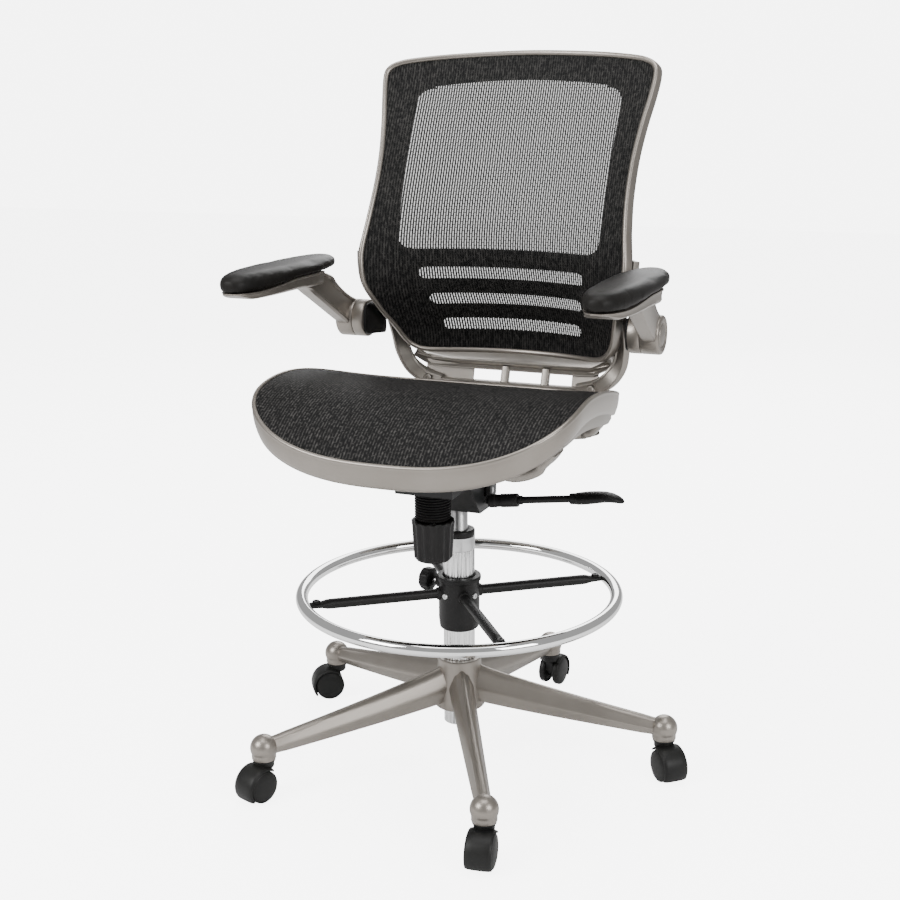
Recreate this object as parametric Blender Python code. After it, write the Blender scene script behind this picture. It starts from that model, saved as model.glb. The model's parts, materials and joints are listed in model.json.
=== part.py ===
"""Mid-back mesh drafting chair: five-star base, gas lift, foot ring, tilting seat and flip-up arms.

Metres, +Z up, the seat faces -Y.  Every piece is one closed solid.  Pieces are modelled in the
coordinates of the chair, whose Z axis is the axis of the gas lift, and hang on empties that lie
on their joints.  The empty "chair" moves the middle of the footprint to the world's origin.
"""
import math

import bmesh
import bpy
from mathutils import Matrix, Vector

# ---------------------------------------------------------------- driving dimensions
GAP = 0.0003                    # between solids that touch
RUN = 0.0005                    # running clearance of sliding and turning fits

# base and casters
LEG_COUNT = 5
LEG_FIRST_DEG = 28.2            # first leg, from -Y towards +X
BALL_CIRCLE_R = 0.3235
BALL_R = 0.0205
BALL_Z = 0.080
BALL_SKIRT = 0.0172             # from the ball's middle down to its rim
HUB_TOP_Z = 0.1735
HUB_BOTTOM_Z = 0.0935
HUB_TOP_R = 0.0345
HUB_BOTTOM_R = 0.0405
LEG_ROOT_W, LEG_ROOT_H = 0.040, 0.058
LEG_TIP_W, LEG_TIP_H = 0.025, 0.025
CASTER_YAWS_DEG = (8.0, 43.0, 173.0, -55.0, -19.0)
WHEEL_R = 0.025
WHEEL_SIDES = 20
AXLE_Z = WHEEL_R * math.cos(math.pi / WHEEL_SIDES)      # the wheels stand on a flat
WHEEL_W = 0.0135
WHEEL_SPLIT = 0.0075            # from the middle to a wheel's inner face
HOOD_R = 0.0300
HOOD_WALL = 0.0030
TRAIL = 0.015                   # from the stem's axis back to the axle
STEM_R = 0.0055
STEM_LENGTH = 0.024             # above the ball's rim
STEM_FOOT_Z = 0.046
NECK_FOOT_Z = 0.0515
AXLE_R = 0.0030

# gas lift
COLUMN_R = 0.025
COLUMN_WALL = 0.0045
COLUMN_BOTTOM_Z = 0.0655
COLUMN_TOP_Z = 0.374
CYLINDER_R = 0.014
CYLINDER_BOTTOM_Z = 0.097
CYLINDER_TOP_Z = 0.477
CYLINDER_BORE_R = 0.0115
ROD_R = 0.005
ROD_TOP_Z = 0.327
VALVE_R = 0.004
VALVE_DEPTH = 0.016

# foot ring
RING_R = 0.245                  # to the middle of the tube
RING_TUBE_R = 0.0095
RING_Z = 0.280
SPOKE_COUNT = 4
SPOKE_FIRST_DEG = 37.3
SPOKE_R = 0.008
COLLAR_R = 0.032
COLLAR_BOTTOM_Z = 0.2235
COLLAR_TOP_Z = 0.309
CLAMP_DEG = 172.3
CLAMP_KNOB_R = 0.0185
CLAMP_KNOB_W = 0.020
CLAMP_Z = 0.292
STUD_R = 0.004

# mechanism
TILT_Y, TILT_Z = -0.055, 0.497
SHAFT_R = 0.005
HOUSING_HALF_W = 0.045
HOUSING_WALL = 0.0035
HOUSING_FRONT_Y, HOUSING_REAR_Y = -0.135, 0.045
HOUSING_BOTTOM_Z = 0.418
HOUSING_STEP_Z = 0.470
PLATE_Z = 0.5155
PLATE_T = 0.004
PLATE_HALF_W = 0.075
PLATE_FRONT_Y, PLATE_REAR_Y = -0.145, 0.085
KNOB_Y = -0.100
KNOB_R = 0.0325
KNOB_BOTTOM_Z, KNOB_TOP_Z = 0.364, 0.426
CUP_R = 0.0270
BOLT_R = 0.005
LEVER_X, LEVER_Z = 0.052, 0.4327
LEVER_SLOPE_DEG = 7.4
LEVER_ROD_R = 0.0055
LEVER_ROD_END = 0.128           # along the rod, from the lever's pivot
PADDLE_LENGTH = 0.082

# seat
SEAT_HALF_W = 0.246
SEAT_FRONT_Y, SEAT_REAR_Y = -0.288, 0.197
SEAT_WIDEST_Y = -0.150
SEAT_MID_Z = 0.6276             # the rim's top at the widest place
SEAT_FRONT_POWER, SEAT_REAR_POWER = 2.6, 3.6
RIM_H = 0.036
RIM_T = 0.015
SEAT_SAG = 0.012
MESH_T = 0.0024

# back: its rim's height and half width, and its surface's height, middle and sideways bend
BACK_RIM = (
    (0.6120, 0.126), (0.6150, 0.152), (0.6240, 0.168), (0.6400, 0.180), (0.6720, 0.193),
    (0.7000, 0.203), (0.7320, 0.2145), (0.7600, 0.2190), (0.7900, 0.2200), (0.8400, 0.2150),
    (0.8900, 0.2120), (0.9400, 0.2130), (0.9900, 0.2190), (1.0300, 0.2260), (1.0600, 0.2295),
    (1.0760, 0.2260), (1.0860, 0.2110), (1.0920, 0.1810),
)
BACK_SHAPE = (
    (0.600, 0.262, 2.00), (0.650, 0.260, 2.20), (0.690, 0.240, 2.35), (0.730, 0.212, 2.00),
    (0.790, 0.190, 1.43), (0.850, 0.200, 1.26), (0.920, 0.225, 1.10), (0.980, 0.248, 0.92),
    (1.044, 0.277, 0.80), (1.110, 0.303, 0.80),
)
BACK_BOTTOM_Z, BACK_TOP_Z = 0.6105, 1.1015
RIM_FACE = 0.0085
RIM_DEPTH = 0.018
SHELL_T = 0.003
BACK_MESH_T = 0.0015
WINDOW_SHARE = 0.80             # window's half width as a share of the panel's
SLOT_SHARE = 0.66
WINDOW_Z = (0.7905, 1.0435)
SLOTS_Z = ((0.649, 0.669), (0.693, 0.713), (0.7385, 0.7595))
PANEL_GAP = 0.0016

# arms
HUB_Y, HUB_Z = 0.160, 0.675
HUB_R = 0.0305
HUB_INNER_X = 0.2225
HUB_W = 0.0195
ARM_HUB_W = 0.031
PIVOT_R = 0.006
PAD_X = 0.272
PAD_Y = -0.045
PAD_HALF_L, PAD_HALF_W = 0.155, 0.042
PAD_UNDER_Z = 0.758
PAD_H = 0.028


# ---------------------------------------------------------------- materials
def finish(name, colour, roughness, metallic):
    """A Principled material of one colour."""
    material = bpy.data.materials.new(name)
    material.use_nodes = True
    shader = material.node_tree.nodes["Principled BSDF"]
    shader.inputs["Base Color"].default_value = (*colour, 1.0)
    shader.inputs["Roughness"].default_value = roughness
    shader.inputs["Metallic"].default_value = metallic
    material.diffuse_color = (*colour, 1.0)
    return material


# ---------------------------------------------------------------- shape helpers
def revolve(profile, segments, ripple=0.0, ripple_count=0):
    """A closed solid turned about Z from (radius, z) points.

    A profile that starts and ends on the axis is closed by it; any other is a closed loop.
    ripple presses flutes into the points that are marked with a third value of 1.
    """
    bm = bmesh.new()
    rings = []
    for point in profile:
        radius, z = point[0], point[1]
        fluted = len(point) > 2
        if radius < 1e-7:
            rings.append([bm.verts.new((0.0, 0.0, z))])
            continue
        ring = []
        for step in range(segments):
            turn = math.tau * step / segments
            r = radius
            if fluted:
                r -= ripple * (0.5 + 0.5 * math.cos(ripple_count * turn))
            ring.append(bm.verts.new((r * math.cos(turn), r * math.sin(turn), z)))
        rings.append(ring)
    open_profile = len(rings[0]) == 1 and len(rings[-1]) == 1
    last = len(rings) - 1 if open_profile else len(rings)
    for index in range(last):
        low, high = rings[index], rings[(index + 1) % len(rings)]
        for step in range(segments):
            after = (step + 1) % segments
            if len(low) == 1:
                bm.faces.new((low[0], high[step], high[after]))
            elif len(high) == 1:
                bm.faces.new((low[step], high[0], low[after]))
            else:
                bm.faces.new((low[step], high[step], high[after], low[after]))
    bmesh.ops.recalc_face_normals(bm, faces=bm.faces)
    return bm


def loft(rings, closed=False):
    """A closed solid through rings of points, capped at both ends unless the path is closed."""
    bm = bmesh.new()
    made = [[bm.verts.new(point) for point in ring] for ring in rings]
    count = len(made[0])
    last = len(made) if closed else len(made) - 1
    for index in range(last):
        first, second = made[index], made[(index + 1) % len(made)]
        for step in range(count):
            after = (step + 1) % count
            bm.faces.new((first[step], second[step], second[after], first[after]))
    if not closed:
        bm.faces.new(made[0])
        bm.faces.new(made[-1])
    bmesh.ops.recalc_face_normals(bm, faces=bm.faces)
    return bm


def block(low, high, bevel=0.0):
    """A box between two corners, with its edges rounded off when bevel is set."""
    bm = bmesh.new()
    bmesh.ops.create_cube(bm, size=1.0)
    low, high = Vector(low), Vector(high)
    size, middle = high - low, (high + low) / 2
    for vert in bm.verts:
        vert.co = Vector(vert.co[axis] * size[axis] + middle[axis] for axis in range(3))
    if bevel:
        bmesh.ops.bevel(bm, geom=list(bm.edges), offset=bevel, segments=1, affect="EDGES")
    return bm


def prism(outline, half_width):
    """An outline of (y, z) points drawn out along X to both sides."""
    left = [(-half_width, y, z) for y, z in outline]
    right = [(half_width, y, z) for y, z in outline]
    return loft((left, right))


def turned(bm, axis, origin=(0.0, 0.0, 0.0)):
    """Lay a solid made about Z along another axis, with its zero at origin."""
    rotation = Vector((0.0, 0.0, 1.0)).rotation_difference(Vector(axis)).to_matrix().to_4x4()
    bmesh.ops.transform(bm, matrix=Matrix.Translation(origin) @ rotation, verts=bm.verts)
    return bm


def rod(radius, start, end, segments=12):
    """A plain round bar between two points."""
    start, end = Vector(start), Vector(end)
    length = (end - start).length
    bm = revolve(((0.0, 0.0), (radius, 0.0), (radius, length), (0.0, length)), segments)
    return turned(bm, end - start, start)


def smooth_path(points, steps, closed=False):
    """Points on a Catmull-Rom curve through the given ones."""
    points = [Vector(point) for point in points]
    count = len(points)
    spans = count if closed else count - 1
    path = []
    for span in range(spans):
        if closed:
            p0, p1, p2, p3 = (points[(span + shift) % count] for shift in (-1, 0, 1, 2))
        else:
            p0, p1 = points[max(span - 1, 0)], points[span]
            p2, p3 = points[span + 1], points[min(span + 2, count - 1)]
        for step in range(steps):
            t = step / steps
            path.append(0.5 * (2 * p1 + (p2 - p0) * t + (2 * p0 - 5 * p1 + 4 * p2 - p3) * t * t
                               + (3 * p1 - 3 * p2 + p3 - p0) * t ** 3))
    if not closed:
        path.append(points[-1])
    return path


def ellipse(width, height, count):
    """Points of an upright oval, as (across, up) pairs."""
    turns = [math.tau * (step + 0.5) / count for step in range(count)]
    return [(width / 2 * math.cos(turn), height / 2 * math.sin(turn)) for turn in turns]


def bar(path, sections, up, closed=False):
    """A bar along a path; each section is a list of (across, up) points, one section per point."""
    rings = []
    count = len(path)
    for index, point in enumerate(path):
        before = path[(index - 1) % count] if closed or index else path[0]
        after = path[(index + 1) % count] if closed or index < count - 1 else path[-1]
        along = (after - before).normalized()
        across = along.cross(up).normalized()
        lift = across.cross(along).normalized()
        rings.append([point + across * a + lift * b for a, b in sections[index]])
    return loft(rings, closed)


# ---------------------------------------------------------------- scene helpers
def empty(name, place, parent=None, turn_deg=0.0):
    """A pivot at a place given in the chair's coordinates, or in its parent's if that is turned."""
    pivot = bpy.data.objects.new(name, None)
    pivot.empty_display_size = 0.03
    bpy.context.scene.collection.objects.link(pivot)
    if parent:
        pivot.parent = parent
        pivot.location = Vector(place) - Vector(parent["place"])
    else:
        pivot.location = place
    pivot["place"] = tuple(place)
    pivot.rotation_euler.z = math.radians(turn_deg)
    return pivot


def add(name, bm, material, pivot, smooth=True):
    """Make the object of a solid that was modelled in the coordinates its pivot's place is in."""
    mesh = bpy.data.meshes.new(name)
    bmesh.ops.translate(bm, vec=-Vector(pivot["place"]), verts=bm.verts)
    bm.to_mesh(mesh)
    bm.free()
    mesh.materials.append(material)
    if smooth:
        mesh.shade_smooth()
        mesh.set_sharp_from_angle(angle=math.radians(35))
    piece = bpy.data.objects.new(name, mesh)
    bpy.context.scene.collection.objects.link(piece)
    piece.parent = pivot
    return piece


def combine(piece, tools, operation):
    """Boolean each tool into the piece; the tools stay as hidden wire guides."""
    for number, bm in enumerate(tools):
        mesh = bpy.data.meshes.new("guide")
        bmesh.ops.recalc_face_normals(bm, faces=bm.faces)
        bmesh.ops.translate(bm, vec=-Vector(piece.parent["place"]), verts=bm.verts)
        bm.to_mesh(mesh)
        bm.free()
        guide = bpy.data.objects.new(f"{piece.name}_{operation.lower()}_{number}", mesh)
        bpy.context.scene.collection.objects.link(guide)
        guide.parent = piece.parent
        guide.hide_render = True
        guide.display_type = "WIRE"
        step = piece.modifiers.new(guide.name, "BOOLEAN")
        step.operation = operation
        step.solver = "EXACT"
        step.object = guide
    return piece


def join(piece, *tools):
    return combine(piece, tools, "UNION")


def cut(piece, *tools):
    return combine(piece, tools, "DIFFERENCE")


# ---------------------------------------------------------------- base and gas lift
def leg_direction(number):
    turn = math.radians(LEG_FIRST_DEG + 360.0 / LEG_COUNT * number)
    return Vector((math.sin(turn), -math.cos(turn), 0.0))


def leg_section(width, height):
    """A leg's outline across: flat below, creased at the sides, a narrow ridge on top."""
    half = ((0.36, -0.50), (0.50, -0.06), (0.38, 0.30), (0.13, 0.50))
    right = [(width * a, height * b) for a, b in half]
    return right + [(-a, b) for a, b in reversed(right)]


def leg(number):
    """One tapered leg, from inside the hub's wall to inside its ball."""
    out = leg_direction(number)
    start = COLUMN_R + 0.004
    end = BALL_CIRCLE_R - 0.6 * BALL_R
    root_z = (HUB_TOP_Z + HUB_BOTTOM_Z) / 2
    tip_z = BALL_Z + 0.002
    across = Vector((-out.y, out.x, 0.0))
    rings = []
    for share in (0.0, 0.25, 0.5, 0.75, 1.0):
        drop = share ** 0.85
        middle = out * (start + (end - start) * share)
        middle.z = root_z + (tip_z - root_z) * drop
        width = LEG_ROOT_W + (LEG_TIP_W - LEG_ROOT_W) * share
        height = LEG_ROOT_H + (LEG_TIP_H - LEG_ROOT_H) * drop
        rings.append([middle + across * a + Vector((0, 0, b)) for a, b in leg_section(width, height)])
    return loft(rings)


def ball(number):
    """The ball at a leg's end, with the socket that holds a caster's stem."""
    rim_r = 0.88 * BALL_R
    low, high = math.asin(-0.47), math.radians(90)
    arc = [low + (high - low) * step / 6 for step in range(6)]
    profile = [(0.0, BALL_Z - BALL_SKIRT + STEM_LENGTH + GAP),
               (STEM_R + GAP, BALL_Z - BALL_SKIRT + STEM_LENGTH + GAP),
               (STEM_R + GAP, BALL_Z - BALL_SKIRT), (rim_r, BALL_Z - BALL_SKIRT)]
    profile += [(BALL_R * math.cos(a), BALL_Z + BALL_R * math.sin(a)) for a in arc]
    profile.append((0.0, BALL_Z + BALL_R))
    bm = revolve(profile, 16)
    bmesh.ops.translate(bm, vec=leg_direction(number) * BALL_CIRCLE_R, verts=bm.verts)
    return bm


def base(paint, chair):
    bore = COLUMN_R + GAP
    waist = (HUB_TOP_R + HUB_BOTTOM_R) / 2 - 0.002
    profile = ((bore, HUB_TOP_Z), (bore, HUB_BOTTOM_Z), (HUB_BOTTOM_R - 0.001, HUB_BOTTOM_Z),
               (HUB_BOTTOM_R, HUB_BOTTOM_Z + 0.003), (waist, (HUB_TOP_Z + HUB_BOTTOM_Z) / 2),
               (HUB_TOP_R, HUB_TOP_Z - 0.012), (HUB_TOP_R, HUB_TOP_Z - 0.003),
               (HUB_TOP_R - 0.0015, HUB_TOP_Z))
    casting = add("base_casting", revolve(profile, 28), paint, chair)
    for number in range(LEG_COUNT):
        join(casting, leg(number), ball(number))


def gas_lift(steel, bright, black, chair, rod_pivot, post, valve_pivot):
    inner = COLUMN_R - COLUMN_WALL
    floor_t = 0.006
    hole = ROD_R + RUN
    tube = ((hole, COLUMN_BOTTOM_Z), (COLUMN_R, COLUMN_BOTTOM_Z), (COLUMN_R, COLUMN_TOP_Z),
            (inner, COLUMN_TOP_Z), (inner, COLUMN_BOTTOM_Z + floor_t),
            (hole, COLUMN_BOTTOM_Z + floor_t))
    add("outer_column", revolve(tube, 32), bright, chair)

    seat_z = COLUMN_TOP_Z + GAP
    guide_bottom = COLUMN_TOP_Z - 0.090
    bush_bore = CYLINDER_R + GAP
    bush = ((bush_bore, guide_bottom), (inner - GAP, guide_bottom), (inner - GAP, seat_z),
            (COLUMN_R, seat_z), (COLUMN_R, seat_z + 0.008), (COLUMN_R - 0.0015, seat_z + 0.0095),
            (bush_bore, seat_z + 0.0095))
    add("column_bush", revolve(bush, 32), black, chair)

    washer = COLUMN_BOTTOM_Z + floor_t + GAP
    head = CYLINDER_BORE_R - 0.0004
    profile = ((0, COLUMN_BOTTOM_Z - 0.004), (0.009, COLUMN_BOTTOM_Z - 0.004),
               (0.009, COLUMN_BOTTOM_Z - GAP), (ROD_R, COLUMN_BOTTOM_Z - GAP), (ROD_R, washer),
               (0.012, washer), (0.012, washer + 0.006), (ROD_R, washer + 0.006),
               (ROD_R, ROD_TOP_Z - 0.010), (head, ROD_TOP_Z - 0.010), (head, ROD_TOP_Z),
               (0, ROD_TOP_Z))
    add("piston_rod", revolve(profile, 20), steel, rod_pivot)

    gland = ROD_R + GAP
    valve_bore = VALVE_R + GAP
    profile = ((0, CYLINDER_TOP_Z - VALVE_DEPTH), (valve_bore, CYLINDER_TOP_Z - VALVE_DEPTH),
               (valve_bore, CYLINDER_TOP_Z), (CYLINDER_R, CYLINDER_TOP_Z),
               (CYLINDER_R, CYLINDER_BOTTOM_Z), (gland, CYLINDER_BOTTOM_Z),
               (gland, CYLINDER_BOTTOM_Z + 0.007), (CYLINDER_BORE_R, CYLINDER_BOTTOM_Z + 0.007),
               (CYLINDER_BORE_R, CYLINDER_TOP_Z - VALVE_DEPTH - 0.012),
               (0, CYLINDER_TOP_Z - VALVE_DEPTH - 0.012))
    add("gas_cylinder", revolve(profile, 24), steel, post)

    low = CYLINDER_TOP_Z - VALVE_DEPTH + 0.0045
    button = ((0, low), (VALVE_R, low), (VALVE_R, CYLINDER_TOP_Z + 0.007),
              (VALVE_R - 0.001, CYLINDER_TOP_Z + 0.0085), (0, CYLINDER_TOP_Z + 0.0085))
    add("valve_button", revolve(button, 12), steel, valve_pivot)


# ---------------------------------------------------------------- casters
def side_ring(x, radius, centre, start_deg, end_deg, count):
    """Points on an arc in a plane across X, from the front over the top."""
    points = []
    for step in range(count + 1):
        turn = math.radians(start_deg + (end_deg - start_deg) * step / count)
        points.append(Vector((x, centre[0] - radius * math.cos(turn),
                              centre[1] + radius * math.sin(turn))))
    return points


def caster_hood():
    """The fender over both wheels, closed in the middle by the web that carries the axle."""
    axle = (-TRAIL, AXLE_Z)
    half = WHEEL_SPLIT + WHEEL_W * 0.62
    start, end, steps = -32.0, 118.0, 9
    rings = []
    for x, radius in ((-half, HOOD_R - 0.0015), (-half * 0.6, HOOD_R), (half * 0.6, HOOD_R),
                      (half, HOOD_R - 0.0015)):
        outer = side_ring(x, radius, axle, start, end, steps)
        inner = side_ring(x, HOOD_R - HOOD_WALL - 0.0005, axle, end, start, steps)
        rings.append(outer + inner)
    return loft(rings)


def caster_web():
    """The flat middle plate between the wheels."""
    axle = (-TRAIL, AXLE_Z)
    half = WHEEL_SPLIT - 0.0008
    rings = []
    for x in (-half, half):
        rim = side_ring(x, HOOD_R - 0.001, axle, -28.0, 112.0, 7)
        neck = (Vector((x, 0.004, 0.045)), Vector((x, 0.0, AXLE_Z)), Vector((x, -TRAIL, 0.013)))
        rings.append(rim + list(neck))
    return loft(rings)


def caster_neck():
    """The round neck under the ball, with the hole for the stem."""
    top = BALL_Z - BALL_SKIRT - GAP
    hole = STEM_R + GAP
    profile = ((hole, top), (BALL_R * 0.84, top), (BALL_R * 0.84, top - 0.003),
               (0.0135, top - 0.010), (0.0125, NECK_FOOT_Z), (hole, NECK_FOOT_Z))
    return revolve(profile, 16)


def wheel(side):
    """One wheel, lying on a flat of its rim: tread, domed face outside, hole for the axle inside."""
    hole = AXLE_R + GAP
    profile = ((0.0, 0.0095), (hole, 0.0095), (hole, 0.0), (WHEEL_R - 0.0012, 0.0),
               (WHEEL_R, 0.0015), (WHEEL_R, 0.0095), (0.6 * WHEEL_R, WHEEL_W - 0.0006),
               (0.0, WHEEL_W))
    bm = revolve(profile, WHEEL_SIDES)
    half_side = Matrix.Rotation(math.pi / WHEEL_SIDES, 3, "Z")
    bmesh.ops.rotate(bm, cent=(0, 0, 0), matrix=half_side, verts=bm.verts)
    return turned(bm, (side, 0.0, 0.0), (side * WHEEL_SPLIT, -TRAIL, AXLE_Z))


def casters(black, rubber, steel, chair):
    for number, yaw in enumerate(CASTER_YAWS_DEG, start=1):
        foot = leg_direction(number - 1) * BALL_CIRCLE_R
        swivel = empty(f"caster_{number}", foot, chair, yaw)
        swivel["place"] = (0.0, 0.0, 0.0)
        hood = add(f"caster_hood_{number}", caster_hood(), black, swivel)
        reach = WHEEL_SPLIT + 0.0090
        axle = rod(AXLE_R, (-reach, -TRAIL, AXLE_Z), (reach, -TRAIL, AXLE_Z), 10)
        join(hood, caster_web(), caster_neck(), axle)
        cut(hood, rod(STEM_R + GAP, (0, 0, STEM_FOOT_Z), (0, 0, BALL_Z), 10))
        stem_top = BALL_Z - BALL_SKIRT + STEM_LENGTH
        stem = rod(STEM_R, (0, 0, STEM_FOOT_Z + GAP), (0, 0, stem_top), 10)
        add(f"caster_stem_{number}", stem, steel, swivel)
        for side, word in ((-1, "right"), (1, "left")):
            pivot = empty(f"caster_wheel_pivot_{word}_{number}", (0, -TRAIL, AXLE_Z), swivel)
            add(f"caster_wheel_{word}_{number}", wheel(side), rubber, pivot)


# ---------------------------------------------------------------- foot ring
def around(radius, degrees, z=0.0):
    turn = math.radians(degrees)
    return Vector((radius * math.cos(turn), radius * math.sin(turn), z))


def foot_ring(chrome, black, steel, slider, clamp):
    steps = 48
    path = [around(RING_R, 360.0 * step / steps, RING_Z) for step in range(steps)]
    section = ellipse(2 * RING_TUBE_R, 2 * RING_TUBE_R, 8)
    ring = bar(path, [section] * steps, Vector((0, 0, 1)), closed=True)
    add("foot_ring", ring, chrome, slider)

    inner, outer = COLLAR_R + GAP + 0.004, RING_R - RING_TUBE_R - GAP
    for number in range(SPOKE_COUNT):
        turn = SPOKE_FIRST_DEG + 360.0 / SPOKE_COUNT * number
        path = [around(inner + (outer - inner) * share, turn, RING_Z) for share in (0, 0.86, 0.95, 1)]
        sections = [ellipse(w * SPOKE_R, h * SPOKE_R, 10) for w, h in
                    ((2, 2), (2, 2), (2.3, 1.5), (1.9, 1.2))]
        spoke = bar(path, sections, Vector((0, 0, 1)))
        add(f"ring_spoke_{number + 1}", spoke, black, slider)

    bore = COLUMN_R + RUN
    lip = COLLAR_R + 0.0025
    profile = ((bore, COLLAR_BOTTOM_Z), (COLLAR_R - 0.002, COLLAR_BOTTOM_Z),
               (COLLAR_R, COLLAR_BOTTOM_Z + 0.012), (COLLAR_R, COLLAR_TOP_Z - 0.009),
               (lip, COLLAR_TOP_Z - 0.006), (lip, COLLAR_TOP_Z - 0.001),
               (lip - 0.001, COLLAR_TOP_Z), (bore, COLLAR_TOP_Z))
    collar = add("ring_collar", revolve(profile, 28), black, slider)
    for number in range(SPOKE_COUNT):
        turn = SPOKE_FIRST_DEG + 360.0 / SPOKE_COUNT * number
        join(collar, rod(1.25 * SPOKE_R, around(COLUMN_R + 0.003, turn, RING_Z),
                         around(COLLAR_R + 0.004, turn, RING_Z), 12))
    boss_end = COLLAR_R + 0.006
    join(collar, rod(0.010, around(COLUMN_R + 0.003, CLAMP_DEG, CLAMP_Z),
                     around(boss_end, CLAMP_DEG, CLAMP_Z), 16))
    cut(collar, rod(STUD_R + GAP, around(COLUMN_R - 0.006, CLAMP_DEG, CLAMP_Z),
                    around(COLLAR_R + 0.02, CLAMP_DEG, CLAMP_Z), 10))

    knob_start = boss_end + 0.007
    stud = rod(STUD_R, around(COLUMN_R + GAP, CLAMP_DEG, CLAMP_Z),
               around(knob_start + 0.010, CLAMP_DEG, CLAMP_Z))
    add("clamp_stud", stud, steel, clamp)
    hole = STUD_R + GAP
    profile = ((hole, 0.0), (0.009, 0.0), (0.011, 0.003), (CLAMP_KNOB_R - 0.001, 0.004),
               (CLAMP_KNOB_R, 0.006, 1), (CLAMP_KNOB_R, CLAMP_KNOB_W - 0.003, 1),
               (CLAMP_KNOB_R - 0.003, CLAMP_KNOB_W), (0.0, CLAMP_KNOB_W))
    knob = revolve(((0.0, 0.0103), (hole, 0.0103)) + profile, 24, 0.0016, 8)
    knob = turned(knob, around(1.0, CLAMP_DEG), around(knob_start, CLAMP_DEG, CLAMP_Z))
    add("clamp_knob", knob, black, clamp)


# ---------------------------------------------------------------- mechanism
def housing(black, post):
    """The tilt housing on top of the gas cylinder, with its socket, spring well and lever slot."""
    front, rear, wall = HOUSING_FRONT_Y, HOUSING_REAR_Y, HOUSING_WALL
    top = PLATE_Z - 0.0035
    outline = ((front, HOUSING_STEP_Z), (front, top - 0.004), (front + 0.008, top), (TILT_Y, top),
               (rear, top - 0.030), (rear, HOUSING_BOTTOM_Z + 0.016), (0.024, HOUSING_BOTTOM_Z),
               (-0.024, HOUSING_BOTTOM_Z), (TILT_Y - 0.012, HOUSING_STEP_Z))
    body = add("mechanism_housing", prism(outline, HOUSING_HALF_W), black, post, smooth=False)
    inside = HOUSING_HALF_W - wall
    well = block((-inside, front + wall, HOUSING_STEP_Z + wall), (inside, -0.030, top + 0.02))
    bore = rod(CYLINDER_R + GAP, (0, 0, HOUSING_BOTTOM_Z - 0.02), (0, 0, top + 0.02), 24)
    slot = block((-0.010, -0.0075, CYLINDER_TOP_Z + 0.0005), (HOUSING_HALF_W + 0.01, 0.0075, top + 0.02))
    relief = block((HOUSING_HALF_W - wall - 0.002, -0.0075, LEVER_Z + 0.008),
                   (HOUSING_HALF_W + 0.01, 0.0075, CYLINDER_TOP_Z + 0.002))
    bolt_hole = rod(BOLT_R + RUN, (0, KNOB_Y, HOUSING_STEP_Z - 0.01), (0, KNOB_Y, HOUSING_STEP_Z + 0.01))
    shaft_hole = rod(SHAFT_R + GAP, (-0.1, TILT_Y, TILT_Z), (0.1, TILT_Y, TILT_Z))
    cut(body, well, bore, slot, relief, bolt_hole, shaft_hole)


def tension(black, steel, post, knob_pivot):
    """The spring and the ribbed cup stay with the housing; the bolt turns with the knob."""
    cup_top, cup_bottom = HOUSING_STEP_Z - GAP, KNOB_TOP_Z + 0.0015
    ridges = 6
    pitch = (cup_top - cup_bottom - 0.002) / ridges
    profile = [(0.0175, cup_bottom), (CUP_R - 0.003, cup_bottom)]
    for ridge in range(ridges):
        middle = cup_bottom + 0.001 + pitch * (ridge + 0.5)
        profile += [(CUP_R - 0.0030, middle - 0.4 * pitch), (CUP_R, middle)]
    profile += [(CUP_R - 0.003, cup_top), (0.0175, cup_top)]
    cup = revolve(profile, 20)
    bmesh.ops.translate(cup, vec=(0, KNOB_Y, 0), verts=cup.verts)
    add("tension_cup", cup, black, post)

    low, high = HOUSING_STEP_Z + HOUSING_WALL + GAP, PLATE_Z - 0.012
    wire, coil, turns, per_turn = 0.0024, 0.0150, 4, 10
    count = turns * per_turn
    path = []
    for step in range(count + 1):
        turn = math.tau * step / per_turn
        z = low + wire + (high - low - 2 * wire) * step / count
        path.append(Vector((coil * math.cos(turn), KNOB_Y + coil * math.sin(turn), z)))
    spring = bar(path, [ellipse(2 * wire, 2 * wire, 5)] * len(path), Vector((0, 0, 1)))
    add("tension_spring", spring, steel, post)

    nut = high + GAP
    bolt = revolve(((0, KNOB_BOTTOM_Z + 0.010), (BOLT_R, KNOB_BOTTOM_Z + 0.010), (BOLT_R, nut),
                    (0.018, nut), (0.018, nut + 0.002), (0.010, nut + 0.002), (0.010, nut + 0.007),
                    (0, nut + 0.007)), 12)
    bmesh.ops.translate(bolt, vec=(0, KNOB_Y, 0), verts=bolt.verts)
    add("tension_bolt", bolt, steel, knob_pivot)

    hole = BOLT_R + GAP
    profile = ((0, KNOB_BOTTOM_Z + 0.0097), (hole, KNOB_BOTTOM_Z + 0.0097), (hole, KNOB_TOP_Z - 0.012),
               (CUP_R, KNOB_TOP_Z - 0.012), (CUP_R, KNOB_TOP_Z), (KNOB_R - 0.001, KNOB_TOP_Z),
               (KNOB_R, KNOB_TOP_Z - 0.002, 1), (KNOB_R - 0.003, KNOB_BOTTOM_Z + 0.006, 1),
               (KNOB_R - 0.007, KNOB_BOTTOM_Z), (0, KNOB_BOTTOM_Z))
    knob = revolve(profile, 42, 0.0018, 14)
    bmesh.ops.translate(knob, vec=(0, KNOB_Y, 0), verts=knob.verts)
    add("tension_knob", knob, black, knob_pivot)


def along_lever(distance, y=0.0, lift=0.0):
    """A point on the lever's own axis, which climbs away from the pivot."""
    slope = math.radians(LEVER_SLOPE_DEG)
    return Vector((LEVER_X + distance * math.cos(slope) - lift * math.sin(slope), y,
                   LEVER_Z + distance * math.sin(slope) + lift * math.cos(slope)))


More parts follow.
